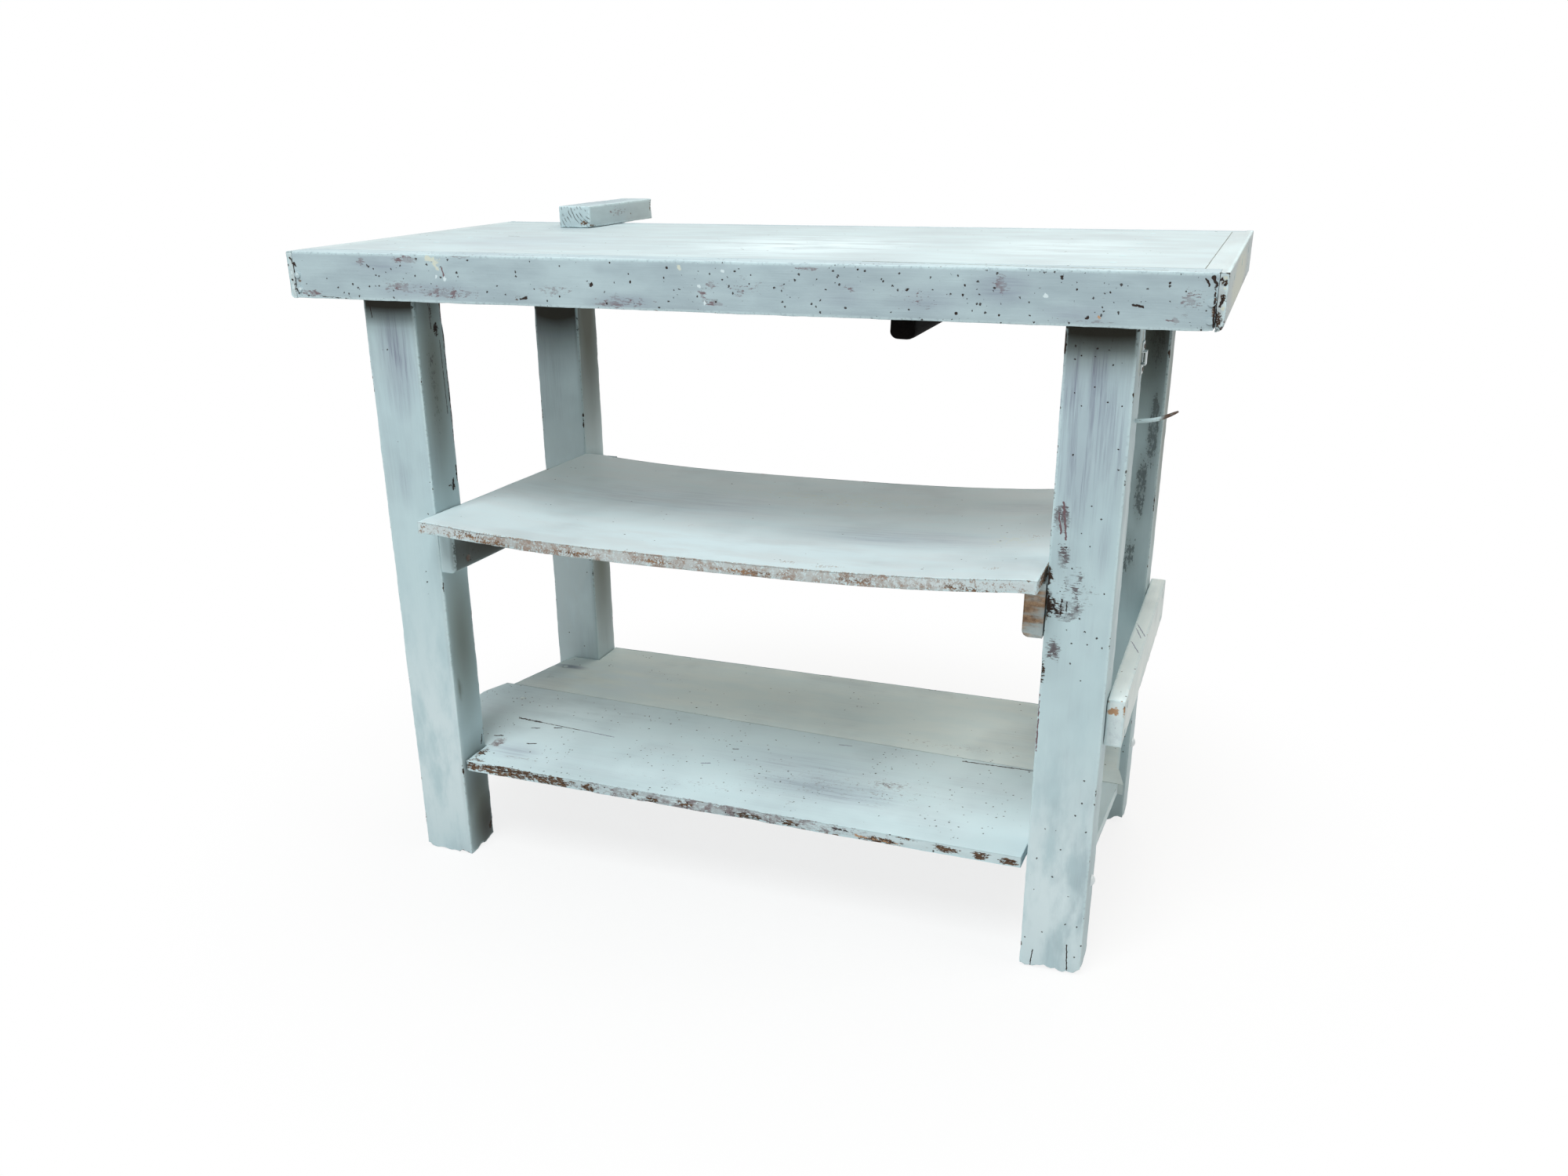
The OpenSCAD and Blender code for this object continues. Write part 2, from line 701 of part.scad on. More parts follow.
module plank_nails() { color(steel) plank_nail_set(); }
module end_board_nails() { color(steel) end_nail_set(); }
module corner_nails() { color(steel) corner_nail_set(); }
module edge_board_screws() { color(steel) edge_screw_set(); }
module bearer_screws() { color(steel) bearer_screw_set(); }
module upper_rail_pegs() { color(end_wood) peg_set(); }
module lower_rail_bolts() { color(paint) bolt_set(); }
module batten_screws() { color(steel) batten_screw_set(); }
module lower_shelf_nails() { color(steel) lower_nail_set(); }
module stretcher_screws() { color(steel) stretcher_screw_set(); }
module stop_block_screws() { color(steel) block_screw_set(); }
module nail_hook() { color(steel) hook_shape(); }
module keeper_screws() { color(steel) keeper_screw_set(); }

front_edge_board();
back_edge_board();
left_end_board();
right_end_board();
front_plank();
middle_plank();
back_plank();
plank_nails();
end_board_nails();
corner_nails();
edge_board_screws();
cross_bearer();
bearer_screws();
front_left_leg();
front_right_leg();
back_left_leg();
back_right_leg();
left_upper_rail();
right_upper_rail();
upper_rail_pegs();
left_lower_rail();
right_lower_rail();
lower_rail_bolts();
middle_shelf();
left_batten();
right_batten();
batten_screws();
lower_front_board();
lower_back_board();
lower_shelf_nails();
side_stretcher();
stretcher_screws();
stop_block();
stop_block_screws();
nail_hook();
latch_keeper();
keeper_screws();
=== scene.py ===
"""Dresses an old painted workbench: worn boards, bare wood and rusty metalwork on its fixed frame."""

import math
from collections import namedtuple

import bmesh
import bpy
import numpy as np
from bpy.props import FloatProperty, FloatVectorProperty, IntProperty, PointerProperty
from bpy.types import Operator, Panel, PropertyGroup
from mathutils import Matrix, Vector, noise
from mathutils.kdtree import KDTree


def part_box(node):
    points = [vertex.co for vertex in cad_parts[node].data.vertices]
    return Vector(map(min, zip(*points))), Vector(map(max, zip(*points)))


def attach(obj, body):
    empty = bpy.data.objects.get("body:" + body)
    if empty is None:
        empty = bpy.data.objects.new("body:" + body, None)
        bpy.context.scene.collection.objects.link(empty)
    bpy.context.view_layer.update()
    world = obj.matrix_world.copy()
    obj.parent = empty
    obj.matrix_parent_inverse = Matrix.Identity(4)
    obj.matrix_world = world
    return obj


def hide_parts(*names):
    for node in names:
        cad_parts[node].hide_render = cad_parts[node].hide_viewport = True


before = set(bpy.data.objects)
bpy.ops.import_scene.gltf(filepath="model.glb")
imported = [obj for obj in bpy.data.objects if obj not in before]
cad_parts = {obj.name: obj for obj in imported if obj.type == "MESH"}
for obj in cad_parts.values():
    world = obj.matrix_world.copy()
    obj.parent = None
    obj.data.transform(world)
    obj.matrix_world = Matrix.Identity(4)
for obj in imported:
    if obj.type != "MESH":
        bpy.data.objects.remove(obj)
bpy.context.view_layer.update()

bl_info = {
    "name": "Old painted workbench",
    "version": (1, 0, 0),
    "blender": (4, 5, 0),
    "location": "View3D > Sidebar > Workbench",
    "description": "Models the worn boards and fittings of a painted workbench",
    "category": "Object",
}

MM = 0.001
ALONG_X, ALONG_Y, ALONG_Z = 0, 1, 2
# The two corners of a box
LOW, HIGH = 0, 1
# The two bodies, and the names of two material slots
BENCH = "bench"
SHELF = "middle_shelf"
PAINTED = "painted_wood"
PAINTED_SHELF = "painted_shelf_wood"

# A worn place, or a place of painted light or shade, on a board: what it is, its middle and reach in mm,
# its strength and its depth in mm
Mark = namedtuple("Mark", "kind middle reach strength depth", defaults=(1.0, 0.0))
# What a mark can be: rubbed to the undercoat, chipped to the wood, grey-green painted shade,
# yellowed, thinly painted, smeared with dirt and painted shade, painted light or dark painted shade
MARK_KINDS = ("rub", "chip", "stain", "cream", "thin", "smear", "fresh", "soot")
# A mark that only takes wood away
WORN = "worn"
# The stored closeness of a vertex to an arris
ARRIS = "arris"
# A crack, scratch or spot: its colour, its two ends and its half width in mm
Line = namedtuple("Line", "tone start end width")

# Places nearer than this are taken as the same in tests
CLOSE = 1 * MM
# Sizes of the waves in the wear of faces, arrises, chips and feet
FACE_WAVE, ARRIS_WAVE, ARRIS_GRAIN, CHIP_GRAIN, FOOT_GRAIN = 70 * MM, 45 * MM, 9 * MM, 6 * MM, 5 * MM
# How far in from an arris the paint can be worn off it
ARRIS_PAINT_REACH = 14 * MM
# Edges flatter than this are shaded smooth
SMOOTH_ANGLE = math.radians(38)
# Edges sharper than this, and nearer than this to an arris, are broken
BROKEN_ANGLE = 0.5
ON_ARRIS = 0.6 * MM
# Points that are merged, and faces that are joined, in a copied mesh
MERGE_DISTANCE = 0.01 * MM
FLAT_ANGLE = math.radians(0.02)


# Colours and sizes that a user would change

def colour(name, description, value):
    """A colour property, written as sRGB numbers from 0 to 255."""
    return FloatVectorProperty(name=name, description=description, subtype="COLOR", size=4,
                               min=0.0, max=1.0, default=linear(value))


def length(name, description, value, high):
    """A length property in metres."""
    return FloatProperty(name=name, description=description, default=value, min=0.0, max=high,
                         unit="LENGTH", subtype="DISTANCE", precision=4)


def linear(rgb):
    """The linear colour of three sRGB numbers from 0 to 255."""
    parts = [c / 255 for c in rgb]
    return tuple(c / 12.92 if c <= 0.04045 else ((c + 0.055) / 1.055) ** 2.4 for c in parts) + (1.0,)


class PaintSettings(PropertyGroup):
    """Colours of the paint, of what shows where it is worn, and of painted light and shade."""

    paint: colour("Paint", "Pale blue-grey paint", (182, 204, 210))
    # Also the colour of the painted highlight along the arrises
    paint_light: colour("Fresh paint", "Lighter paint on ridges and brush marks", (201, 221, 225))
    streak: colour("Streaks", "Grey-violet where the paint is thin", (134, 142, 158))
    # Grime, and also the painted shade that darkens inner faces, leg tops and the backs of shelves
    shade: colour("Grime", "Grey-green grime in the paint", (106, 111, 100))
    rub: colour("Rubbed", "Reddish brown where the paint is rubbed", (112, 90, 95))
    bare: colour("Bare wood", "Orange-tan bare wood", (184, 146, 114))
    aged: colour("Aged wood", "Brown wood that has long been bare", (104, 82, 68))
    dark: colour("Old wood", "Dark brown in cracks and deep chips", (42, 32, 28))
    cream: colour("Yellowed", "Yellowed paint in a chipped patch", (203, 208, 195))
    # Painted light: nearly white paint that lightens faces lying in shade and patches on the top
    fresh: colour("Touched up", "Nearly white fresh paint", (212, 226, 230))
    white: colour("White", "White paint on bumps and nail heads", (208, 222, 226))
    # Dark grey dirt in specks, and smooth painted shade at the tops of the legs where the mark is strong
    smear: colour("Smears", "Dark grey dirt", (50, 52, 52))
    # Painted shade: the near-black colour that darkens faces close under the top and under the shelves
    soot: colour("Soot", "Brown-black dirt close under the top", (34, 33, 24))


class WearSettings(PropertyGroup):
    """How far the boards are worn."""

    pitch: length("Pitch", "Distance of a board's mesh lines", 0.0055, 0.02)
    arris: length("Arris", "Width of the broken arris", 0.0013, 0.004)
    arris_reach: length("Arris reach", "How far wear reaches in from an arris", 0.007, 0.02)
    arris_depth: length("Arris depth", "How deep wear goes at an arris", 0.0011, 0.004)
    hollow: length("Hollows", "How deep the faces wave", 0.0004, 0.003)
    seed: IntProperty(name="Seed", description="Shifts the pattern of the wear", default=7, min=0, max=99)


def angle(name, description, value):
    """An angle property in radians."""
    return FloatProperty(name=name, description=description, default=value, unit="ROTATION",
                         subtype="ANGLE")


def power(name, description, value):
    """The power of a lamp."""
    return FloatProperty(name=name, description=description, default=value, min=0.0, unit="POWER")


class StageSettings(PropertyGroup):
    """Camera, lamps and floor."""

    camera_place: FloatVectorProperty(name="Camera", description="Place of the camera",
                                      default=(0.61908, -1.71793, 0.98932), unit="LENGTH",
                                      subtype="TRANSLATION")
    camera_yaw: angle("Yaw", "Turn of the camera about Z", 0.37782)
    camera_pitch: angle("Pitch", "Tilt of the camera", -0.39073)
    camera_roll: angle("Roll", "Roll of the camera", -0.01499)
    lens: FloatProperty(name="Lens", description="Focal length in mm on a 36 mm sensor",
                        default=30.635, min=10.0, max=100.0)
    shift: FloatVectorProperty(name="Shift", description="Shift of the lens", size=2,
                               default=(0.0194, 0.0540))
    key_lamp: power("Key lamp", "Power of the large lamp high in front", 113.0)
    side_lamp: power("Side lamp", "Power of the lamp high at the right", 34.0)
    back_lamp: power("Back lamp", "Power of the lamp behind the bench", 40.0)
    ambient: FloatProperty(name="Ambient", description="Strength of the plain light all round",
                           default=0.2, min=0.0, max=2.0)


# Small tools for objects and edit mode

Settings = namedtuple("Settings", "paint wear stage")


def settings():
    """The property groups of this script on the scene."""
    scene = bpy.context.scene
    return Settings(scene.bench_paint, scene.bench_wear, scene.bench_stage)


def deselect_all():
    """Leaves edit mode and deselects every object."""
    if bpy.context.object and bpy.context.object.mode != "OBJECT":
        bpy.ops.object.mode_set(mode="OBJECT")
    bpy.ops.object.select_all(action="DESELECT")


def choose(piece):
    """Makes one object the selected and active one."""
    deselect_all()
    piece.select_set(True)
    bpy.context.view_layer.objects.active = piece


def edit_edges(piece):
    """Opens one object in edit mode with no edge selected."""
    choose(piece)
    bpy.ops.object.mode_set(mode="EDIT")
    bpy.ops.mesh.select_mode(type="EDGE")
    bpy.ops.mesh.select_all(action="DESELECT")


def leave_edges():
    """Goes back from the edges of an object to the whole of it."""
    bpy.ops.mesh.select_mode(type="VERT")
    bpy.ops.object.mode_set(mode="OBJECT")


def select_edges(piece, chosen):
    """Selects the edges of the object in edit mode that pass a test."""
    shape = bmesh.from_edit_mesh(piece.data)
    for edge in shape.edges:
        edge.select = chosen(edge)
    shape.select_flush_mode()
    bmesh.update_edit_mesh(piece.data)


def name_piece(piece, name):
    """Names an object and its mesh."""
    piece.name = name
    piece.data.name = name
    return piece


def block(name, low, high):
    """A plain block between two corners, ready to be cut and worn."""
    deselect_all()
    bpy.ops.mesh.primitive_cube_add(size=1, location=(low + high) / 2, scale=high - low)
    piece = name_piece(bpy.context.object, name)
    bpy.ops.object.transform_apply(location=True, rotation=True, scale=True)
    return piece


def copy_of_node(node):
    """A merged copy of a frame node's mesh with its flat faces joined up."""
    name = f"worn_{node}"
    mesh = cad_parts[node].data.copy()
    mesh.materials.clear()
    piece = bpy.data.objects.new(name, mesh)
    bpy.context.scene.collection.objects.link(piece)
    mesh.name = name
    choose(piece)
    bpy.ops.object.mode_set(mode="EDIT")
    bpy.ops.mesh.select_all(action="SELECT")
    bpy.ops.mesh.remove_doubles(threshold=MERGE_DISTANCE)
    bpy.ops.mesh.dissolve_limited(angle_limit=FLAT_ANGLE)
    bpy.ops.object.mode_set(mode="OBJECT")
    return piece


# Boards: cutting, breaking the arrises and wearing

# A place for the search tree of a piece that has no open arris
FAR_AWAY = Vector((9, 9, 9))


def arris_tree(piece, open_to=None, shortest=1.2 * MM, spacing=1.0 * MM, sharp=math.radians(30)):
    """A search tree of points along the piece's arrises that are open to wear."""
    shape = bmesh.new()
    shape.from_mesh(piece.data)
    points = []
    for edge in shape.edges:
        if len(edge.link_faces) != 2 or edge.calc_length() < shortest:
            continue
        if edge.calc_face_angle() < sharp:
            continue
        a, b = (v.co for v in edge.verts)
        if open_to and not open_to((a + b) / 2):
            continue
        count = max(1, math.ceil(edge.calc_length() / spacing))
        points += [a.lerp(b, i / count) for i in range(count + 1)]
    shape.free()
    points = points or [FAR_AWAY]
    tree = KDTree(len(points))
    for i, point in enumerate(points):
        tree.insert(point, i)
    tree.balance()
    return tree


def cut_planes(low, high, pitch, near):
    """Places of the cuts between two ends: close beside the ends, and evenly between."""
    places = [low + d for d in near] + [high - d for d in near]
    inner_low, inner_high = low + near[-1], high - near[-1]
    count = max(1, round((inner_high - inner_low) / pitch))
    places += [inner_low + (inner_high - inner_low) * i / count for i in range(1, count)]
    return sorted(places)


def cut(piece, axis, places):
    """Cuts the piece by planes across one axis."""
    normal = Vector((0, 0, 0))
    normal[axis] = 1
    choose(piece)
    bpy.ops.object.mode_set(mode="EDIT")
    for place in places:
        bpy.ops.mesh.select_all(action="SELECT")
        bpy.ops.mesh.bisect(plane_co=normal * place, plane_no=normal)
    bpy.ops.object.mode_set(mode="OBJECT")


def divide(piece, axis, pitch):
    """Divides every edge that runs along one axis, where it is longer than the pitch."""
    edit_edges(piece)
    shape = bmesh.from_edit_mesh(piece.data)
    spans = {}
    for edge in shape.edges:
        a, b = (v.co for v in edge.verts)
        span = abs(a[axis] - b[axis])
        if span > 0.9 * edge.calc_length() and span > 1.5 * pitch:
            key = (round(min(a[axis], b[axis]) / MM, 1), round(max(a[axis], b[axis]) / MM, 1))
            spans[key] = round(span / pitch)
    for span, count in spans.items():

        def has_span(edge):
            ends = sorted(v.co[axis] / MM for v in edge.verts)
            return all(abs(end - wanted) < 0.1 for end, wanted in zip(ends, span))

        bpy.ops.mesh.select_all(action="DESELECT")
        select_edges(piece, has_span)
        bpy.ops.mesh.subdivide(number_cuts=count - 1)
    leave_edges()


def bevel_edges(piece, chosen, width, segments):
    """Bevels the edges that pass a test."""
    edit_edges(piece)
    select_edges(piece, chosen)
    bpy.ops.mesh.bevel(offset=width, segments=segments, profile=0.5, clamp_overlap=True)
    leave_edges()


def break_arrises(piece, tree, width):
    """Bevels the edges that lie on the piece's arrises."""

    def on_arris(edge):
        a, b = (v.co for v in edge.verts)
        if tree.find((a + b) / 2)[2] >= ON_ARRIS or len(edge.link_faces) != 2:
            return False
        return edge.calc_face_angle() > BROKEN_ANGLE

    if width > 0:
        bevel_edges(piece, on_arris, width, 2)


def round_edges(piece, chosen, width, segments):
    """Rounds the edges whose two ends pass a test."""
    bevel_edges(piece, lambda edge: chosen(*(v.co for v in edge.verts)), width, segments)


def fade(distance, reach):
    """1 at no distance, 0 from reach on, smooth between."""
    t = min(max(1 - distance / reach, 0.0), 1.0)
    return t * t * (3 - 2 * t)


def wave(point, size, shift):
    """Smooth noise from -1 to 1 with features of about this size."""
    return noise.noise(point / size + Vector((shift, 0.37 * shift, 0.11)))


def mark_weight(mark, point):
    """How much a mark works at a point, from 0 to 1."""
    squares = [((point[i] / MM - mark.middle[i]) / mark.reach[i]) ** 2 for i in range(3)]
    return fade(math.sqrt(sum(squares)), 1.0)


def write_attribute(mesh, name, values):
    """Stores one number a vertex for the materials to read."""
    attribute = mesh.attributes.new(name, "FLOAT", "POINT")
    attribute.data.foreach_set("value", np.array(values, np.float32))


def displace(piece, name, depths, direction, sign):
    """Moves the vertices by their own depths with a Displace modifier that is applied."""
    deepest = max(depths, default=0.0)
    if deepest <= 0:
        return
    group = piece.vertex_groups.new(name=name)
    for index, depth in enumerate(depths):
        if depth > 0:
            group.add([index], depth / deepest, "REPLACE")
    modifier = piece.modifiers.new(name, "DISPLACE")
    modifier.direction = direction
    modifier.vertex_group = name
    modifier.mid_level = 0
    modifier.strength = sign * deepest
    choose(piece)
    bpy.ops.object.modifier_apply(modifier=name)
    piece.vertex_groups.remove(piece.vertex_groups[name])


def wear(piece, tree, marks, arris_share, hollow_share):
    """Wears the arrises, faces and marked places, and stores the masks for the materials."""
    worn = settings().wear
    points = [v.co.copy() for v in piece.data.vertices]
    depths = []
    masks = {kind: [] for kind in MARK_KINDS}
    closeness = []
    for point in points:
        from_arris = tree.find(point)[2]
        near = fade(from_arris, worn.arris_reach)
        rough = 0.5 * wave(point, ARRIS_GRAIN, worn.seed) + 0.6 * wave(point, ARRIS_WAVE, worn.seed)
        rough += 0.45
        depth = worn.hollow * hollow_share * (0.55 + 0.45 * wave(point, FACE_WAVE, worn.seed))
        depth += worn.arris_depth * arris_share * near * max(rough, 0.0)
        weights = dict.fromkeys(MARK_KINDS + (WORN,), 0.0)
        for mark in marks:
            weight = mark_weight(mark, point)
            if weight > 0:
                weights[mark.kind] = max(weights[mark.kind], weight * mark.strength)
                ragged = 0.75 + 0.5 * wave(point, CHIP_GRAIN, worn.seed)
                depth += mark.depth * MM * min(weight * 1.6, 1.0) * ragged
        for kind in MARK_KINDS:
            masks[kind].append(weights[kind])
        closeness.append(fade(from_arris, ARRIS_PAINT_REACH))
        depths.append(max(depth, 0.0))
    for kind in MARK_KINDS:
        write_attribute(piece.data, kind, masks[kind])
    write_attribute(piece.data, ARRIS, closeness)
    displace(piece, "wear", depths, "NORMAL", -1)


def finish_board(piece, node, body, material):
    """Shades a finished piece, gives it its material, hangs it on its body and hides its frame node."""
    choose(piece)
    bpy.ops.object.shade_smooth_by_angle(angle=SMOOTH_ANGLE)
    piece.data.materials.clear()
    piece.data.materials.append(material)
    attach(piece, body)
    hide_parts(node)
    return piece


def wear_board(piece, marks=(), arris=None, arris_share=1.0, hollow_share=1.0, fine=(3, 8),
               pitch=None, straight=True, open_to=None):
    """Cuts a plain piece into a fine mesh, breaks its arrises and wears it."""
    worn = settings().wear
    pitch = pitch or worn.pitch
    tree = arris_tree(piece, open_to)
    corners = np.array([v.co for v in piece.data.vertices])
    for axis in (ALONG_X, ALONG_Y, ALONG_Z):
        ends = sorted(set(np.round(corners[:, axis], 5))) if straight else []
        ends = ends or [corners[:, axis].min(), corners[:, axis].max()]
        if straight:
            places = [e + s * d * MM for e in ends for d in (0,) + tuple(fine) for s in (-1, 1)]
            low, high = ends[0], ends[-1]
            cut(piece, axis, sorted({round(p, 6) for p in places if low < p < high}))
            divide(piece, axis, pitch)
        else:
            near = [d * MM for d in fine if d * MM < (ends[1] - ends[0]) / 2.5]
            cut(piece, axis, cut_planes(ends[0], ends[1], pitch, near or [1 * MM]))
    break_arrises(piece, tree, worn.arris if arris is None else arris)
    wear(piece, tree, marks, arris_share, hollow_share)
    return piece


# Shader node helpers

def fill(tree, node, inputs):
    """Fills a node's sockets with numbers or links."""
    for key, value in inputs.items():
        if isinstance(value, bpy.types.NodeSocket):
            tree.links.new(value, node.inputs[key])
        else:
            node.inputs[key].default_value = value


def add_node(tree, kind, inputs=None, **values):
    """Adds a node, sets its own values and fills its sockets."""
    node = tree.nodes.new(kind)
    for name, value in values.items():
        setattr(node, name, value)
    fill(tree, node, inputs or {})
    return node


def calc(tree, operation, a, b=0.0, clamp=False):
    """The result of a math node."""
    node = add_node(tree, "ShaderNodeMath", {0: a, 1: b}, operation=operation, use_clamp=clamp)
    return node.outputs[0]


def times(tree, *values, clamp=False):
    """The product of two or more numbers."""
    product = values[0]
    for value in values[1:]:
        product = calc(tree, "MULTIPLY", product, value, clamp)
    return product


def larger(tree, a, b, clamp=False):
    """The larger of two numbers."""
    return calc(tree, "MAXIMUM", a, b, clamp)


def weighted(tree, *terms):
    """The sum of values with their weights."""
    total = None
    for value, weight in terms:
        part = times(tree, value, weight)
        total = part if total is None else calc(tree, "ADD", total, part)
    return total


def vector_calc(tree, operation, a, b=(0.0, 0.0, 0.0), output="Vector"):
    """A result of a vector math node."""
    return add_node(tree, "ShaderNodeVectorMath", {0: a, 1: b}, operation=operation).outputs[output]


def scaled(tree, vector, scale):
    """The vector made longer or shorter by one number."""
    node = add_node(tree, "ShaderNodeVectorMath", {0: vector, "Scale": scale}, operation="SCALE")
    return node.outputs["Vector"]


def step(tree, value, low, high):
    """0 below low, 1 above high, smooth between."""
    sockets = {"Value": value, "From Min": low, "From Max": high}
    node = add_node(tree, "ShaderNodeMapRange", sockets, interpolation_type="SMOOTHSTEP")
    return node.outputs["Result"]


def mix(tree, share, a, b):
    """A mix of two colours."""
    node = add_node(tree, "ShaderNodeMix", {0: share, 6: a, 7: b}, data_type="RGBA")
    return node.outputs[2]


def mix_value(tree, share, a, b):
    """A mix of two numbers."""
    node = add_node(tree, "ShaderNodeMix", {0: share, 2: a, 3: b}, data_type="FLOAT")
    return node.outputs[0]


def noise_value(tree, vector, scale, detail=3.0, roughness=0.55):
    """The value of a noise texture."""
    sockets = {"Vector": vector, "Scale": scale, "Detail": detail, "Roughness": roughness}
    return add_node(tree, "ShaderNodeTexNoise", sockets).outputs["Fac"]


def stretched_noise(tree, vector, scales, detail, roughness=0.6):
    """A noise whose features have their own size along each axis."""
    sockets = {"Vector": vector, "Scale": scales}
    vector = add_node(tree, "ShaderNodeMapping", sockets).outputs["Vector"]
    return noise_value(tree, vector, 1.0, detail, roughness)


def random_push(tree, vector, scale, reach):
    """A random push of up to half the reach along each axis."""
    push = add_node(tree, "ShaderNodeTexNoise", {"Vector": vector, "Scale": scale})
    push = vector_calc(tree, "SUBTRACT", push.outputs["Color"], (0.5, 0.5, 0.5))
    return vector_calc(tree, "MULTIPLY", push, (reach, reach, reach))


# Node groups that the materials share: each function gives the outputs of its group

SOCKET_KINDS = {"Vector": "NodeSocketVector", "Jag": "NodeSocketVector", "From": "NodeSocketVector",
                "To": "NodeSocketVector", "Middle": "NodeSocketVector", "Dark": "NodeSocketColor",
                "Light": "NodeSocketColor", "Colour": "NodeSocketColor"}


def new_group(build, inputs):
    """A node group with these inputs and with the outputs that its build function gives."""
    tree = bpy.data.node_groups.new(build.__name__, "ShaderNodeTree")

    def add_socket(label, side):
        kind = SOCKET_KINDS.get(label, "NodeSocketFloat")
        tree.interface.new_socket(name=label, in_out=side, socket_type=kind)

    for label in inputs:
        add_socket(label, "INPUT")
    results = build(tree, tree.nodes.new("NodeGroupInput").outputs)
    for label in results:
        add_socket(label, "OUTPUT")
    add_node(tree, "NodeGroupOutput", results)
    return tree


def use_group(tree, build, **inputs):
    """The outputs of a node that places a shared group with its own values."""
    group = bpy.data.node_groups.get(build.__name__) or new_group(build, inputs)
    return add_node(tree, "ShaderNodeGroup", inputs, node_tree=group).outputs


def brush_marks(tree, given):
    """Brush streaks along the first axis, fine bristle lines and broad mottling."""
    place = given["Vector"]
    return {"Streaks": step(tree, stretched_noise(tree, place, (9, 150, 150), 4.0), 0.42, 0.64),
            "Bristles": stretched_noise(tree, place, (16, 850, 850), 2.0),
            "Mottle": stretched_noise(tree, place, (9, 26, 26), 5.0)}


def worm_holes(tree, given):
    """Round dark holes of about 2 mm, in loose clusters."""
    wobble = random_push(tree, given["Vector"], 480.0, 0.003)
    place = vector_calc(tree, "ADD", given["Vector"], wobble)
    cells = add_node(tree, "ShaderNodeTexVoronoi", {"Vector": place, "Scale": 145.0}).outputs
    pick = add_node(tree, "ShaderNodeSeparateColor", {"Color": cells["Color"]}).outputs
    cluster = step(tree, noise_value(tree, given["Vector"], 11.0, 2.0), 0.38, 0.7)
    chosen = calc(tree, "LESS_THAN", pick["Red"], times(tree, given["Amount"], cluster))
    width = mix_value(tree, pick["Green"], 0.06, 0.2)
    return {"Holes": times(tree, calc(tree, "LESS_THAN", cells["Distance"], width), chosen)}


def worn_patch(tree, given):
    """Turns a soft mask into a ragged patch of specks that thicken towards its middle."""
    streaky = stretched_noise(tree, given["Vector"], (120, 480, 480), 5.0, 0.72)
    ragged = noise_value(tree, given["Vector"], 150.0, 5.0, 0.7)
    share = calc(tree, "MINIMUM", times(tree, given["Mask"], given["Cover"]), given["Most"])
    limit = calc(tree, "SUBTRACT", 0.68, times(tree, share, 0.3))
    over = calc(tree, "SUBTRACT", weighted(tree, (streaky, 0.62), (ragged, 0.38)), limit)
    inside = step(tree, given["Mask"], 0.02, 0.2)
    return {"Patch": times(tree, step(tree, over, -0.008, 0.018), inside)}


def worn_arris(tree, given):
    """Where the paint is gone along an arris, and a broken painted highlight beside it."""
    patchy = noise_value(tree, given["Vector"], 24.0, 4.0, 0.6)
    ragged = noise_value(tree, given["Vector"], 210.0, 3.0, 0.6)
    both = weighted(tree, (patchy, 0.7), (ragged, 0.3))
    reach = times(tree, given["Arris"], both, given["Amount"])
    beside = step(tree, given["Arris"], 0.72, 0.98)
    return {"Bare": step(tree, reach, 0.54, 0.58),
            "Ridge": times(tree, beside, step(tree, ragged, 0.35, 0.5))}


def scratch(tree, given):
    """A thin jagged line between two places, or a spot where they are the same place."""
    sway = scaled(tree, given["Jag"], given["Width"])
    place = vector_calc(tree, "ADD", sway, given["Vector"])
    span = vector_calc(tree, "SUBTRACT", given["To"], given["From"])
    from_start = vector_calc(tree, "SUBTRACT", place, given["From"])
    share = calc(tree, "DIVIDE", vector_calc(tree, "DOT_PRODUCT", from_start, span, "Value"),
                 vector_calc(tree, "DOT_PRODUCT", span, span, "Value"), clamp=True)
    nearest = scaled(tree, span, share)
    gap = vector_calc(tree, "DISTANCE", from_start, nearest, "Value")
    return {"Line": step(tree, calc(tree, "DIVIDE", gap, given["Width"]), 1.0, 0.65)}


def jagged(tree, given):
    """A random push that makes drawn lines jagged."""
    return {"Jag": random_push(tree, given["Vector"], 230.0, 2.4)}


def end_grain(tree, given):
    """Broken dark growth rings round a middle line along Y, on faces that look along Y."""
    place = vector_calc(tree, "SUBTRACT", given["Vector"], given["Middle"])
    sockets = {"Vector": place, "Scale": 62.0, "Distortion": 1.6, "Detail": 3.0, "Detail Scale": 2.0}
    rings = add_node(tree, "ShaderNodeTexWave", sockets, wave_type="RINGS", rings_direction="Y")
    normal = tree.nodes.new("ShaderNodeNewGeometry").outputs["Normal"]
    facing = add_node(tree, "ShaderNodeSeparateXYZ", {"Vector": normal}).outputs["Y"]
    facing = step(tree, calc(tree, "ABSOLUTE", facing), 0.75, 0.95)
    broken = step(tree, noise_value(tree, given["Vector"], 120.0, 3.0), 0.42, 0.55)
    return {"Rings": times(tree, step(tree, rings.outputs["Fac"], 0.7, 0.95), broken, facing)}


def wood_grain(tree, given):
    """Bare wood: its colour between two browns, and the relief of its grain."""
    bands = stretched_noise(tree, given["Vector"], (10, 190, 190), 5.0, 0.62)
    fibres = stretched_noise(tree, given["Vector"], (30, 1100, 1100), 3.0)
    tone = weighted(tree, (bands, 0.65), (fibres, 0.35))
    return {"Colour": mix(tree, step(tree, tone, 0.36, 0.62), given["Dark"], given["Light"]),
            "Relief": tone}


def rust_blotches(tree, given):
    """Where steel is rusty, and the relief of the rust's pits."""
    blotch = noise_value(tree, given["Vector"], 190.0, 4.0, 0.65)
    return {"Rust": step(tree, blotch, 0.38, 0.62),
            "Pits": noise_value(tree, given["Vector"], 1400.0, 3.0, 0.6)}


# Materials

